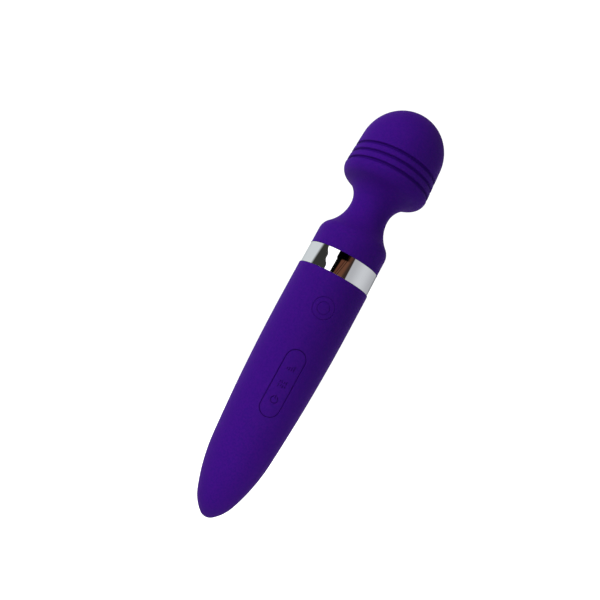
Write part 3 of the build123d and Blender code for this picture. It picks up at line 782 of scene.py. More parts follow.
@dataclass
class UpperSkin:
    """The silicone of the shoulder, the neck and the head, in two pieces that meet at the waist."""

    shape: WandShape
    columns: int = 160
    lip: float = 0.16
    groove_width: float = 1.0
    groove_floor: float = 0.55
    groove_depth: float = 1.0
    groove_heights: tuple[float, ...] = (195.7, 200.3, 204.7)
    row_spacing: float = 0.18
    inner_spacing: float = 0.8
    blend_reach: float = 11.0

    @property
    def meeting(self) -> float:
        """The height at which the two pieces meet, just above the waist."""
        return self.shape.waist + 0.05

    def grooved(self, outline: np.ndarray) -> np.ndarray:
        """The outline with the head's grooves pressed into it along its own normal.

        A groove has a flat floor, and its walls rise with the S-curve of smooth_step.

        Args:
            outline: rows of (radius, height).

        Returns:
            The changed rows.
        """
        along = np.gradient(outline, axis=0)
        along /= np.linalg.norm(along, axis=1)[:, None]
        inward = np.stack([-along[:, 1], along[:, 0]], 1)
        depth = np.zeros(len(outline))
        for height in self.groove_heights:
            away = np.abs(outline[:, 1] - height)
            pressed = self.groove_depth * (1 - smooth_step(away, self.groove_floor, self.groove_width))
            depth += np.where(outline[:, 0] > self.shape.shoulder_r, pressed, 0.0)
        return outline + inward * depth[:, None]

    def recess_shade(self, profile: np.ndarray) -> np.ndarray:
        """How far each point of a profile lies in one of the head's grooves, from 0 to 1, as a column: the
        weight of the painted shade there.
        """
        away = np.min([np.abs(profile[:, 1] - height) for height in self.groove_heights], 0)
        outside = profile[:, 0] > self.shape.shoulder_r + self.shape.upper_skin
        return np.where(outside, 1 - smooth_step(away, self.groove_floor, self.groove_width), 0.0)[:, None]

    def halves(self) -> tuple[np.ndarray, np.ndarray, np.ndarray, np.ndarray]:
        """Cuts the profiles at the meeting height.

        Returns:
            The lower piece's outer and inner profiles, then the upper piece's.
        """
        outer = self.grooved(self.shape.upper().sample(self.row_spacing))
        inner = self.shape.upper().sample(self.inner_spacing, self.shape.upper_skin)
        waist = self.shape.waist
        lower = outer[outer[:, 1] <= self.meeting]
        upper = outer[outer[:, 1] > self.meeting]
        meet = np.array([[lower[-1, 0], self.meeting]])
        lower = np.concatenate([lower[:-1], meet])
        upper = np.concatenate([meet, upper])
        inner_lower = inner[inner[:, 1] < waist]
        inner_upper = inner[inner[:, 1] > waist]
        inner_meet = meet - [self.shape.upper_skin, 0.0]
        return lower, np.vstack([inner_lower, inner_meet]), upper, np.vstack([inner_meet, inner_upper])

    def build(self, finish: bpy.types.Material) -> list[bpy.types.Object]:
        """Makes both pieces.

        Args:
            finish: the silicone.

        Returns:
            The shoulder piece and the head piece.
        """
        lower, inner_lower, upper, inner_upper = self.halves()
        foot = lower[0]
        rim = rounded_rim(foot, np.array([-1.0, 0.0]), np.array([0.0, 1.0]), self.lip)
        outer = np.concatenate([rim, lower[lower[:, 1] > foot[1] + self.lip]])
        loop = np.concatenate([outer, inner_lower[::-1], rim[:1]])
        angles = full_turn(self.columns)
        shoulder_mesh = MeshBuilder("shoulder_skin")
        shoulder_mesh.add_grid(turn_grid(loop, angles), wrap=True)
        shoulder = shoulder_mesh.finish()

        upper[-1, 0] = inner_upper[-1, 0] = 0.0
        loop = np.concatenate([inner_upper[::-1], upper])
        head_mesh = MeshBuilder("head_skin")
        # The head's grooves get painted shade by these weights.
        head_mesh.add_grid(turn_grid(loop, angles), wrap=True, recess_shade=self.recess_shade(loop))
        head = head_mesh.finish()

        low, middle, high = (self.meeting + step * self.blend_reach for step in (-1, 0, 1))
        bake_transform(shoulder)
        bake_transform(head)
        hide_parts("shoulder_sleeve", "neck_sleeve")
        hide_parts("head_sleeve")
        for piece in (shoulder, head):
            piece.data.materials.append(finish)
        return [shoulder, head]


@dataclass
class NeckCore:
    """The ribbed flexible core inside the neck, in two pieces that meet at the waist."""

    shape: WandShape
    bore_r: float = 3.2
    rib_count: int = 4
    rib_depth: float = 1.2
    rib_half_gap: float = 0.7
    rib_edge: float = 0.1
    columns: int = 96
    row_spacing: float = 0.125

    def outer_radius(self, z: np.ndarray) -> np.ndarray:
        """The core's outer radius at each height: less by the rib depth in the middle of each pitch."""
        low, high = node_span("neck_core")
        pitch = (high[2] - low[2]) / self.rib_count
        away = np.abs((z - low[2]) % pitch - pitch / 2)
        edge_low, edge_high = self.rib_half_gap - self.rib_edge, self.rib_half_gap + self.rib_edge
        return high[0] - self.rib_depth * (1 - smooth_step(away, edge_low, edge_high))

    def inner_radius(self, z: np.ndarray) -> np.ndarray:
        """The bore's radius at each height, wider where the lead guide sits."""
        low, high = node_span("lead_guide")
        in_pocket = (z > low[2]) & (z < high[2])
        return np.where(in_pocket, high[0], self.bore_r)

    def piece(self, name: str, low: float, high: float, finish: bpy.types.Material) -> bpy.types.Object:
        """A closed tube of the core between two heights.

        Args:
            name: the piece's name.
            low: its lower height.
            high: its upper height.
            finish: the rubber.

        Returns:
            The new object.
        """
        rows = np.linspace(low, high, int((high - low) / self.row_spacing))
        outside = np.stack([self.outer_radius(rows), rows], 1)
        inside = np.stack([self.inner_radius(rows), rows], 1)
        loop = np.concatenate([outside, inside[::-1], outside[:1]])
        mesh = MeshBuilder(name)
        mesh.add_grid(turn_grid(loop, full_turn(self.columns)), wrap=True)
        made = mesh.finish()
        made.data.materials.append(finish)
        return made

    def build(self, finish: bpy.types.Material) -> list[bpy.types.Object]:
        """Makes both pieces, which meet at the waist.

        Args:
            finish: the rubber.

        Returns:
            The lower and upper pieces.
        """
        low, high = node_span("neck_core")
        waist = self.shape.waist
        lower = self.piece("neck_core_low", low[2], waist, finish)
        upper = self.piece("neck_core_high", waist, high[2], finish)
        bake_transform(lower)
        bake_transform(upper)
        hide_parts("neck_core")
        return [lower, upper]


@dataclass
class MotorLeads:
    """The two insulated leads from the board to the motor, in pieces that meet at the waist."""

    shape: WandShape
    lead_r: float = 0.45
    end_gap: float = 0.05
    top_slope: float = 13.0
    bends: tuple[tuple[float, float, float], ...] = (
        (4.5, -8.1, 0.0), (4.4, -7.6, 9.0), (2.6, -3.2, 21.0), (1.5, 0.0, 34.0))
    sides: int = 16
    samples: int = 35

    @property
    def span(self) -> tuple[float, float]:
        """The heights of the leads' ends."""
        low, high = node_span("motor_leads")
        return low[2] + self.end_gap, high[2] - self.end_gap

    def route(self, side: int) -> np.ndarray:
        """The middle line of one lead: a Catmull-Rom curve through its bends, then straight up the bore.

        Between two points the curve is the cubic Hermite blend whose slope at each point is half the
        difference of its neighbours.

        Args:
            side: 1 for the right-hand lead, -1 for the left-hand one.

        Returns:
            Points of shape (count, 3).
        """
        foot, top = self.span
        bends = np.array(self.bends) + [0.0, 0.0, foot]
        bends = np.vstack([bends, [*bends[-1, :2], top]])
        slope = np.gradient(bends, axis=0)
        slope[-1] = slope[-2] = (0.0, 0.0, self.top_slope)
        share = np.linspace(0, 1, self.samples)[:, None]
        square, cube = share ** 2, share ** 3
        run = [(2 * cube - 3 * square + 1) * first + (cube - 2 * square + share) * leave
               + (3 * square - 2 * cube) * last + (cube - square) * reach
               for first, last, leave, reach in zip(bends, bends[1:], slope, slope[1:])]
        line = np.concatenate([run[0]] + [part[1:] for part in run[1:]])
        return line * [side, 1, 1]

    def tube(self, mesh: MeshBuilder, line: np.ndarray) -> None:
        """Adds a round tube with flat ends: centre + radius (cos a u + sin a v), u and v across the line.

        Args:
            mesh: the mesh that takes the tube.
            line: the tube's middle line.
        """
        along = np.gradient(line, axis=0)
        along /= np.linalg.norm(along, axis=1)[:, None]
        across = np.cross(along, (0.0, 1.0, 0.0))
        across /= np.linalg.norm(across, axis=1)[:, None]
        other = np.cross(along, across)
        angles = full_turn(self.sides)[None, :, None]
        away = np.cos(angles) * across[:, None] + np.sin(angles) * other[:, None]
        round_line = line[:, None] + self.lead_r * away
        ends = [np.broadcast_to(line[k], (1, self.sides, 3)) for k in (0, -1)]
        mesh.add_grid(np.concatenate([ends[0], round_line, ends[1]]), wrap=True)

    def piece(self, name: str, low: float, high: float, finish: bpy.types.Material) -> bpy.types.Object:
        """Both leads between two heights.

        Args:
            name: the piece's name.
            low: its lower height.
            high: its upper height.
            finish: the insulation.

        Returns:
            The new object.
        """
        mesh = MeshBuilder(name)
        for side in (-1, 1):
            line = self.route(side)
            ends = [np.array([np.interp(z, line[:, 2], line[:, k]) for k in range(3)]) for z in (low, high)]
            between = line[(line[:, 2] > low + 0.02) & (line[:, 2] < high - 0.02)]
            self.tube(mesh, np.concatenate([ends[:1], between, ends[1:]]))
        made = mesh.finish()
        made.data.materials.append(finish)
        return made

    def build(self, finish: bpy.types.Material) -> list[bpy.types.Object]:
        """Makes both pieces, which bend between the collars and the guide and lie straight inside the guide.

        Args:
            finish: the insulation.

        Returns:
            The lower and upper pieces.
        """
        foot, top = self.span
        waist = self.shape.waist
        lower = self.piece("motor_leads_low", foot, waist, finish)
        upper = self.piece("motor_leads_high", waist, top, finish)
        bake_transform(lower)
        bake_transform(upper)
        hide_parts("motor_leads")
        return [lower, upper]


@dataclass
class BrightRing:
    """The plated ring between the handle and the shoulder."""

    shape: WandShape
    edge: float = 0.12
    columns: int = 256
    gap: float = 0.05
    top_step: float = 0.12

    def build(self, finish: bpy.types.Material) -> bpy.types.Object:
        """Turns the ring: a straight outer face with rounded edges and a plain bore.

        Args:
            finish: the plating.

        Returns:
            The new object.
        """
        low, high = self.shape.ring_low + self.gap, self.shape.ring_high - self.gap
        outer = node_span("plated_ring")[1][0]
        inner = self.shape.shoulder_r - self.shape.upper_skin
        up, out = np.array([0.0, 1.0]), np.array([1.0, 0.0])
        bottom = rounded_rim(np.array([outer, low]), out, up, self.edge)
        top = rounded_rim(np.array([outer - self.top_step, high]), up, -out, self.edge)
        loop = np.concatenate([[[inner, low]], bottom, top, [[inner, high]], [[inner, low]]])
        mesh = MeshBuilder("bright_ring")
        mesh.add_grid(turn_grid(loop, full_turn(self.columns)), wrap=True)
        ring = mesh.finish()
        ring.data.materials.append(finish)
        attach(ring, "handle")
        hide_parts("plated_ring")
        return ring


# ----------------------------------------------------------------------------------------------------------
# Finishes
# ----------------------------------------------------------------------------------------------------------


class NodeCanvas:
    """A short way to place and join shader nodes."""

    def __init__(self, tree: bpy.types.NodeTree) -> None:
        """Works on a node tree."""
        self.tree = tree

    def add(self, kind: str, **settings: object) -> bpy.types.Node:
        """Adds a node and sets its properties.

        Args:
            kind: the node's type.
            **settings: property names and their values.

        Returns:
            The new node.
        """
        made = self.tree.nodes.new(kind)
        for name, value in settings.items():
            setattr(made, name, value)
        return made

    def link(self, source: bpy.types.NodeSocket, target: bpy.types.NodeSocket) -> None:
        """Joins two sockets."""
        self.tree.links.new(source, target)


def grain_group() -> bpy.types.NodeTree:
    """The fine grain that moulded skins share: a height and a mask from two sizes of noise.

    Its height is fine noise plus a share of coarser noise. Its mask is a cloudy noise for colour and gloss.

    Returns:
        The node group.
    """
    name = "moulded_grain"
    if name in bpy.data.node_groups:
        return bpy.data.node_groups[name]
    group = bpy.data.node_groups.new(name, "ShaderNodeTree")
    for label, value in (("Scale", 4000.0), ("Coarse", 0.4), ("Cloud Scale", 60.0)):
        socket = group.interface.new_socket(name=label, in_out="INPUT", socket_type="NodeSocketFloat")
        socket.default_value = value
    for label in ("Height", "Mask"):
        group.interface.new_socket(name=label, in_out="OUTPUT", socket_type="NodeSocketFloat")
    canvas = NodeCanvas(group)
    inlet, outlet = canvas.add("NodeGroupInput"), canvas.add("NodeGroupOutput")
    place = canvas.add("ShaderNodeTexCoord")
    fine = canvas.add("ShaderNodeTexNoise", noise_dimensions="3D")
    fine.inputs["Detail"].default_value = 3.0
    coarse = canvas.add("ShaderNodeTexNoise", noise_dimensions="3D")
    coarse.inputs["Detail"].default_value = 2.0
    widen = canvas.add("ShaderNodeMath", operation="MULTIPLY")
    widen.inputs[1].default_value = COARSE_SHARE
    canvas.link(inlet.outputs["Scale"], fine.inputs["Scale"])
    canvas.link(inlet.outputs["Scale"], widen.inputs[0])
    canvas.link(widen.outputs[0], coarse.inputs["Scale"])
    weigh = canvas.add("ShaderNodeMath", operation="MULTIPLY_ADD")
    canvas.link(coarse.outputs["Fac"], weigh.inputs[0])
    canvas.link(inlet.outputs["Coarse"], weigh.inputs[1])
    canvas.link(fine.outputs["Fac"], weigh.inputs[2])
    cloud = canvas.add("ShaderNodeTexNoise", noise_dimensions="3D")
    cloud.inputs["Detail"].default_value = 4.0
    canvas.link(inlet.outputs["Cloud Scale"], cloud.inputs["Scale"])
    for node in (fine, coarse, cloud):
        canvas.link(place.outputs["Object"], node.inputs["Vector"])
    canvas.link(weigh.outputs[0], outlet.inputs["Height"])
    canvas.link(cloud.outputs["Fac"], outlet.inputs["Mask"])
    return group


@dataclass(frozen=True)
class MouldedFinish:
    """A moulded skin with fine grain: silicone, rubber, plastic, foam or resin.

    Attributes:
        name: the material's name.
        colour: its base colour.
        deep: the colour where the cloud mask is low.
        roughness: its lowest and highest roughness.
        grain: the grain's scale.
        bump: the grain's height in millimetres.
        cloud: the scale of the cloud mask.
        sheen: the sheen's weight, with its tint and roughness.
        specular: the strength of its plain reflection.
        coat: the weight of a clear coat.
        metallic: 1 for bare or plated metal.
        recess_painted_shade: the painted shade in grooves and pressed marks: how dark the bottom of a groove
            is, as a share of each part of the colour.
    """

    name: str
    colour: tuple[float, float, float]
    deep: tuple[float, float, float]
    roughness: tuple[float, float] = (0.5, 0.6)
    grain: float = 4000.0
    bump: float = 0.02
    cloud: float = 60.0
    sheen: float = 0.0
    sheen_tint: tuple[float, float, float] = (1.0, 1.0, 1.0)
    sheen_roughness: float = 0.5
    specular: float = 0.5
    coat: float = 0.0
    metallic: float = 0.0
    recess_painted_shade: tuple[float, float, float] = (0.5, 0.3, 0.68)

    def make(self) -> bpy.types.Material:
        """Builds the material's nodes.

        Returns:
            The material.
        """
        material = bpy.data.materials.new(self.name)
        material.use_nodes = True
        material.diffuse_color = (*self.colour, 1.0)
        tree = material.node_tree
        shader = tree.nodes["Principled BSDF"]
        canvas = NodeCanvas(tree)
        grain = canvas.add("ShaderNodeGroup", node_tree=grain_group())
        grain.inputs["Scale"].default_value = self.grain
        grain.inputs["Cloud Scale"].default_value = self.cloud
        tone = canvas.add("ShaderNodeMix", data_type="RGBA")
        tone.inputs["A"].default_value = (*self.deep, 1.0)
        tone.inputs["B"].default_value = (*self.colour, 1.0)
        spread = canvas.add("ShaderNodeMapRange")
        spread.inputs["From Min"].default_value = 0.35
        spread.inputs["From Max"].default_value = 0.65
        canvas.link(grain.outputs["Mask"], spread.inputs["Value"])
        canvas.link(spread.outputs["Result"], tone.inputs["Factor"])
        # Painted shade: the colour darkens by the mesh's recess weight, in grooves, pressed marks and the
        # gaps round the pads.
        shade = canvas.add("ShaderNodeMix", data_type="RGBA")
        shaded = [part * tone for part, tone in zip(self.colour, self.recess_painted_shade)]
        shade.inputs["B"].default_value = (*shaded, 1.0)
        recess_shade_weight = canvas.add("ShaderNodeAttribute", attribute_name="recess_shade")
        canvas.link(recess_shade_weight.outputs["Fac"], shade.inputs["Factor"])
        canvas.link(tone.outputs["Result"], shade.inputs["A"])
        canvas.link(shade.outputs["Result"], shader.inputs["Base Color"])
        gloss = canvas.add("ShaderNodeMapRange")
        gloss.inputs["To Min"].default_value, gloss.inputs["To Max"].default_value = self.roughness
        canvas.link(grain.outputs["Mask"], gloss.inputs["Value"])
        canvas.link(gloss.outputs["Result"], shader.inputs["Roughness"])
        bump = canvas.add("ShaderNodeBump")
        bump.inputs["Strength"].default_value = 1.0
        bump.inputs["Distance"].default_value = self.bump * MM
        canvas.link(grain.outputs["Height"], bump.inputs["Height"])
        canvas.link(bump.outputs["Normal"], shader.inputs["Normal"])
        shader.inputs["Metallic"].default_value = self.metallic
        shader.inputs["Specular IOR Level"].default_value = self.specular
        shader.inputs["Coat Weight"].default_value = self.coat
        shader.inputs["Sheen Weight"].default_value = self.sheen
        shader.inputs["Sheen Tint"].default_value = (*self.sheen_tint, 1.0)
        shader.inputs["Sheen Roughness"].default_value = self.sheen_roughness
        return material


SILICONE = MouldedFinish("velvet_silicone", (0.055, 0.0031, 0.232), (0.037, 0.0031, 0.212), (0.60, 0.70),
                         grain=2400.0, bump=0.02, cloud=1000.0, sheen=0.05, sheen_tint=(0.9, 0.3, 0.9),
                         sheen_roughness=0.4, specular=0.07)
PLATING = MouldedFinish("bright_plating", (0.90, 0.90, 0.91), (0.88, 0.88, 0.90), (0.02, 0.05),
                        grain=300.0, bump=0.0015, metallic=1.0)
INNER_FINISHES = {
    "black_rubber": MouldedFinish("soft_black_rubber", (0.022, 0.022, 0.023), (0.015, 0.015, 0.016),
                                  (0.7, 0.85)),
    "black_abs": MouldedFinish("shell_plastic", (0.035, 0.035, 0.038), (0.028, 0.028, 0.03), (0.45, 0.6)),
    "white_nylon": MouldedFinish("white_nylon", (0.78, 0.77, 0.73), (0.72, 0.71, 0.66), (0.4, 0.5)),
    "screw_steel": MouldedFinish("zinc_steel", (0.60, 0.60, 0.62), (0.48, 0.48, 0.50), (0.25, 0.4),
                                 metallic=1.0),
    "shaft_steel": MouldedFinish("ground_steel", (0.56, 0.56, 0.58), (0.46, 0.46, 0.48), (0.2, 0.35),
                                 metallic=1.0),
    "board_green": MouldedFinish("board_mask", (0.02, 0.17, 0.06), (0.015, 0.13, 0.045), (0.25, 0.35),
                                 coat=0.4),
    "chip_black": MouldedFinish("chip_resin", (0.025, 0.025, 0.026), (0.018, 0.018, 0.018), (0.4, 0.55)),
    "led_clear": MouldedFinish("light_resin", (0.82, 0.86, 0.9), (0.75, 0.8, 0.86), (0.1, 0.2), coat=0.6),
    "cell_wrap": MouldedFinish("cell_wrap", (0.05, 0.13, 0.42), (0.04, 0.1, 0.34), (0.2, 0.3), coat=0.5),
    "nickel": MouldedFinish("nickel_strip", (0.62, 0.6, 0.56), (0.52, 0.5, 0.46), (0.25, 0.4), metallic=1.0),
    "copper": MouldedFinish("enamelled_copper", (0.75, 0.33, 0.16), (0.6, 0.24, 0.1), (0.2, 0.4),
                            metallic=1.0),
    "bronze": MouldedFinish("oiled_bronze", (0.55, 0.38, 0.18), (0.45, 0.3, 0.13), (0.3, 0.5), metallic=1.0),
    "lead_red": MouldedFinish("lead_insulation", (0.5, 0.03, 0.03), (0.42, 0.02, 0.02), (0.35, 0.5)),
    "grey_foam": MouldedFinish("grey_foam", (0.26, 0.26, 0.27), (0.16, 0.16, 0.17), (0.85, 0.95),
                               grain=1200.0, bump=0.2),
    "dense_alloy": MouldedFinish("dense_alloy", (0.36, 0.36, 0.37), (0.27, 0.27, 0.28), (0.35, 0.55),
                                 metallic=1.0),
    "silicone": SILICONE,
    "chrome": PLATING,
}


def dress_nodes(finishes: dict[str, bpy.types.Material]) -> None:
    """Gives every CAD node the finish of its material slot.

    Args:
        finishes: the material of each slot.
    """
    slots = {row["node"]: row["material_slot"] for row in frame["record"]["subparts"]}
    for name, node in frame["nodes"].items():
        if not node.material_slots:
            node.data.materials.append(None)
        for place in node.material_slots:
            place.material = finishes[slots[name]]


# ----------------------------------------------------------------------------------------------------------
# Studio
# ----------------------------------------------------------------------------------------------------------


@dataclass
class Studio:
    """The camera, the pale floor, the lights and the reflection cards."""

    shape: WandShape
    camera_distance: float = 285.04
    camera_height: float = 99.99
    camera_side: float = 0.48
    camera_azimuth: float = -7.6
    lens: float = 33.0
    floor_drop: float = 12.0
    floor_half: float = 4.0
    screen_radius: float = 420.0
    screen_turn: float = 179.9
    screen_columns: int = 721
    screen_rows: int = 67
    screen_heights: tuple[float, float, float, float] = (150.0, 260.0, -500.0, 900.0)
    roll_up: tuple[float, float, float] = (0.07405, 0.47507, 0.87683)
    look: tuple[float, float, float] = (-0.99725, 0.03344, 0.06611)

    def axes(self) -> tuple[Vector, Vector, Vector]:
        """Unit directions from the wand's axis: towards the camera, sideways and up the wand."""
        angle = radians(self.camera_azimuth)
        towards = Vector((sin(angle), -cos(angle), 0.0))
        up = Vector((0.0, 0.0, 1.0))
        return towards, towards.cross(up), up

    def place_camera(self) -> None:
        """Puts the camera where the wand runs from lower left to upper right."""
        towards, side, up = self.axes()
        spot = (towards * self.camera_distance + side * self.camera_side + up * self.camera_height) * MM

        def turned(parts: tuple[float, float, float]) -> Vector:
            """A direction given by its parts along the three axes."""
            return (towards * parts[0] + side * parts[1] + up * parts[2]).normalized()

        look, top = turned(self.look), turned(self.roll_up)
        right = look.cross(top).normalized()
        top = right.cross(look)
        data = bpy.data.cameras.new("camera")
        data.lens, data.sensor_width = self.lens, 36.0
        data.clip_start = 0.01
        camera = bpy.data.objects.new("camera", data)
        camera.matrix_world = Matrix((
            (right.x, top.x, -look.x, spot.x),
            (right.y, top.y, -look.y, spot.y),
            (right.z, top.z, -look.z, spot.z),
            (0, 0, 0, 1)))
        bpy.context.scene.collection.objects.link(camera)
        bpy.context.scene.camera = camera

    def around(self, azimuth: float, distance: float, height: float) -> Vector:
        """A place at an azimuth from the camera's direction about the wand, in metres.

        Args:
            azimuth: degrees from the camera, positive to the wand's right-hand side as seen.
            distance: millimetres from the axis.
            height: millimetres above the tail's tip.

        Returns:
            The place.
        """
        towards, side, up = self.axes()
        angle = radians(azimuth)
        return (towards * cos(angle) * distance - side * sin(angle) * distance + up * height) * MM

    def lamp(self, name: str, azimuth: float, distance: float, height: float, size: tuple[float, float],
             power: float, colour: tuple[float, float, float] = (1.0, 1.0, 1.0),
             aim: float = 125.0, spread: float = 180.0) -> None:
        """Adds a soft rectangular light.

        Args:
            name: the light's name.
            azimuth: degrees from the camera about the wand.
            distance: millimetres from the axis.
            height: millimetres above the tail's tip.
            size: its two sides, in millimetres.
            power: its power in watts.
            colour: its colour.
            aim: the height on the axis that it faces.
            spread: the angle that it lights, in degrees.
        """
        data = bpy.data.lights.new(name, "AREA")
        data.shape = "RECTANGLE"
        data.size, data.size_y = size[0] * MM, size[1] * MM
        data.energy, data.color = power, colour
        spot = self.around(azimuth, distance, height)
        data.spread = radians(spread)
        target = Vector((0.0, 0.0, aim * MM))
        made = bpy.data.objects.new(name, data)
        turn = (target - spot).to_track_quat("-Z", "Y").to_matrix().to_4x4()
        made.matrix_world = Matrix.Translation(spot) @ turn
        made.visible_camera = False
        made.visible_glossy = False
        bpy.context.scene.collection.objects.link(made)

    @staticmethod
    def screen_colours(azimuth: np.ndarray, level: np.ndarray) -> np.ndarray:
        """What the ring reflects: upright bands whose edges lean and waver with the height.

        Each band replaces the one before it to the right of its edge: smooth_step(azimuth less edge), where
        an edge is a constant plus a slope times the level plus, for the dark band, a sine wave.

        Args:
            azimuth: degrees about the wand from the camera.
            level: 0 at the height that the ring's lower edge reflects, 1 at its upper edge.

        Returns:
            Linear colours of shape (..., 3).
        """
        wave = 2.0 * np.sin(level * 8.0 + 0.8)
        bands = (
            (-300.0, 1.0, (0.50, 0.55, 0.56)),
            (-150.0, 50.0, (0.66, 0.70, 0.71)),
            (-88.0 + 4.0 * level, 12.0, (0.035, 0.036, 0.032)),
            (-40.0 - 14.0 * level + wave, 1.5, (1.6, 1.6, 1.6)),
            (-20.0 + 0.8 * level, 1.0, (0.001, 0.001, 0.001)),
            (-8.0 + 3.0 * level, 3.0, (0.13, 0.048, 0.026)),
            (-2.5 + 7.0 * level, 1.0, (0.02, 0.008, 0.006)),
            (-0.5 + 7.0 * level, 1.5, (0.16, 0.065, 0.036)),
            (3.0 + 7.0 * level, 1.0, (0.025, 0.010, 0.008)),
            (5.0 + 7.0 * level, 1.5, (0.15, 0.062, 0.034)),
            (18.0 + 3.0 * level, 10.0, (0.04, 0.024, 0.018)),
            (30.0 + 0 * level, 3.0, (0.46, 0.47, 0.49)),
            (55.0 + 0 * level, 40.0, (0.62, 0.64, 0.66)),
            (105.0 + 0 * level, 60.0, (0.44, 0.45, 0.47)),
            (150.0 + 0 * level, 30.0, (0.10, 0.11, 0.12)),
        )
        colour = np.zeros(azimuth.shape + (3,))
        for edge, width, tint in bands:
            share = smooth_step(azimuth - edge, -width / 2, width / 2)[..., None]
            colour = colour * (1 - share) + np.array(tint) * share
        top = smooth_step(level - 0.004 * np.clip(azimuth + 22.0, 0, 100), 0.88, 0.93)
        top = top * smooth_step(azimuth, -23.0, -21.0) * smooth_step(-azimuth, -26.0, -8.0)
        return colour * (1 - top[..., None])

    def reflection_screen(self) -> None:
        """Adds the round screen about the wand that only shows in bright plating."""
        reach, ring_level = self.screen_radius, (self.shape.ring_low + self.shape.ring_high) / 2
        azimuths = np.linspace(-self.screen_turn, self.screen_turn, self.screen_columns)
        low, high, bottom, top = self.screen_heights
        heights = np.concatenate([[bottom], np.linspace(low, high, self.screen_rows), [top]])
        slope = (ring_level - self.camera_height) / self.camera_distance
        mirrored = ring_level + slope * reach
        spread = (self.shape.ring_high - self.shape.ring_low) * (1 + 2 * reach / self.camera_distance) / 2
        az, height = np.meshgrid(azimuths, heights)
        level = np.clip((height - mirrored) / (2 * spread) + 0.5, -2.0, 3.0)
        colours = self.screen_colours(az, np.clip(level, -0.5, 1.5))
        towards, side, _ = self.axes()
        angle = np.radians(az)[..., None]
        flat = (np.array(towards) * np.cos(angle) - np.array(side) * np.sin(angle)) * reach
        points = flat + np.stack([0 * height, 0 * height, height], -1)
        rows, columns = az.shape
        index = np.arange(rows * columns).reshape(rows, columns)
        quads = np.stack([index[:-1, :-1], index[:-1, 1:], index[1:, 1:], index[1:, :-1]], -1).reshape(-1, 4)
        mesh = bpy.data.meshes.new("reflection_screen")
        mesh.from_pydata(points.reshape(-1, 3) * MM, [], quads.tolist())
        layer = mesh.attributes.new("glow", "FLOAT_COLOR", "POINT")
        layer.data.foreach_set("color", np.concatenate([colours.reshape(-1, 3), np.ones((rows * columns, 1))],
                                                       1).ravel())
        material = bpy.data.materials.new("reflection_screen")
        material.use_nodes = True
        tree = material.node_tree
        tree.nodes.clear()
        canvas = NodeCanvas(tree)
        stored = canvas.add("ShaderNodeAttribute", attribute_name="glow")
        glow, out = canvas.add("ShaderNodeEmission"), canvas.add("ShaderNodeOutputMaterial")
        canvas.link(stored.outputs["Color"], glow.inputs["Color"])
        canvas.link(glow.outputs[0], out.inputs["Surface"])
        mesh.materials.append(material)
        screen = bpy.data.objects.new("reflection_screen", mesh)
        screen.visible_camera = screen.visible_diffuse = screen.visible_shadow = False
        screen.visible_transmission = screen.visible_volume_scatter = False
        bpy.context.scene.collection.objects.link(screen)

    def build(self) -> None:
        """Sets up the whole studio."""
        self.place_camera()
        self.lamp("key_light", -62.0, 620.0, 420.0, (420, 420), 2.9)
        self.lamp("front_light", 6.0, 700.0, 160.0, (500, 500), 1.3)
        self.lamp("left_rim_light", -130.0, 520.0, 120.0, (260, 500), 0.9, (1.0, 0.9, 0.97))
        self.lamp("right_back_light", 146.0, 560.0, 200.0, (300, 500), 1.6)
        self.lamp("tail_light", 14.0, 190.0, 14.0, (140, 36), 0.015, aim=16.0, spread=70.0)
        self.reflection_screen()
        self.make_floor()
        self.make_world()
        bpy.context.scene.view_settings.view_transform = "Standard"

    def make_floor(self) -> None:
        """Adds the pale floor just under the tail."""
        half, level = self.floor_half, -self.floor_drop * MM
        mesh = bpy.data.meshes.new("floor")
        corners = [(-half, -half, level), (half, -half, level), (half, half, level), (-half, half, level)]
        mesh.from_pydata(corners, [], [(0, 1, 2, 3)])
        floor = bpy.data.objects.new("floor", mesh)
        material = bpy.data.materials.new("pale_floor")
        material.use_nodes = True
        shader = material.node_tree.nodes["Principled BSDF"]
        shader.inputs["Base Color"].default_value = (0.8, 0.8, 0.8, 1.0)
        shader.inputs["Roughness"].default_value = 0.9
        shader.inputs["Emission Color"].default_value = (1.0, 1.0, 1.0, 1.0)
        canvas = NodeCanvas(material.node_tree)
        path = canvas.add("ShaderNodeLightPath")
        canvas.link(path.outputs["Is Camera Ray"], shader.inputs["Emission Strength"])
        mesh.materials.append(material)
        bpy.context.scene.collection.objects.link(floor)

    def make_world(self) -> None:
        """A white surround for the camera, and a dimmer one for the light that falls on the wand."""
        world = bpy.data.worlds.new("studio")
        bpy.context.scene.world = world
        world.use_nodes = True
        tree = world.node_tree
        tree.nodes.clear()
        canvas = NodeCanvas(tree)
        path = canvas.add("ShaderNodeLightPath")
        seen = canvas.add("ShaderNodeBackground")
        seen.inputs["Color"].default_value = (1.0, 1.0, 1.0, 1.0)
        seen.inputs["Strength"].default_value = 1.1
        felt = canvas.add("ShaderNodeBackground")
        felt.inputs["Color"].default_value = (0.9, 0.93, 1.0, 1.0)
        felt.inputs["Strength"].default_value = 0.12
        mix = canvas.add("ShaderNodeMixShader")
        out = canvas.add("ShaderNodeOutputWorld")
        canvas.link(path.outputs["Is Camera Ray"], mix.inputs["Fac"])
        canvas.link(felt.outputs[0], mix.inputs[1])
        canvas.link(seen.outputs[0], mix.inputs[2])
        canvas.link(mix.outputs[0], out.inputs["Surface"])


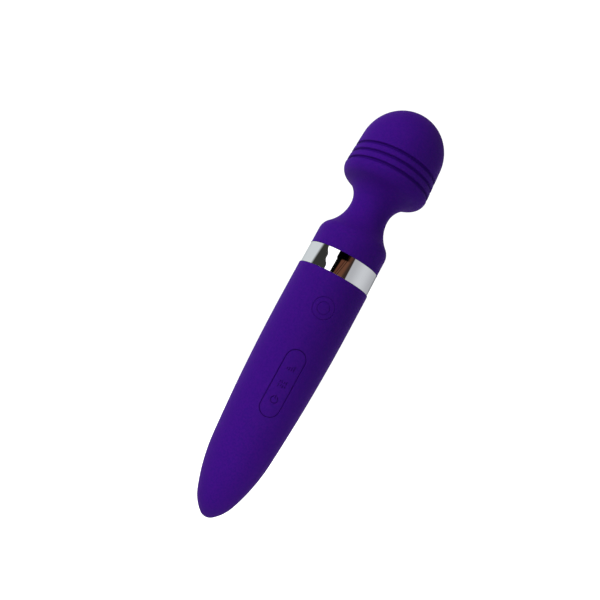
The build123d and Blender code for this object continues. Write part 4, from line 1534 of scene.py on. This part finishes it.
def main() -> None:
    """Builds the wand's looks, then the studio, and reports each piece."""
    logging.basicConfig(level=logging.INFO, format="%(name)s: %(message)s")
    shape = WandShape()
    finishes = {slot: finish.make() for slot, finish in INNER_FINISHES.items()}
    dress_nodes(finishes)
    panel = ControlPanel(shape)
    pieces = [HandleSkin(shape, panel).build(finishes["silicone"])]
    pieces += panel.build(finishes["silicone"])
    pieces += UpperSkin(shape).build(finishes["silicone"])
    pieces.append(BrightRing(shape).build(finishes["chrome"]))
    pieces += NeckCore(shape).build(finishes["black_rubber"])
    pieces += MotorLeads(shape).build(finishes["lead_red"])
    for piece in pieces:
        LOG.info("%s: %d faces", piece.name, len(piece.data.polygons))
    Studio(shape).build()


if __name__ == "__main__":
    main()
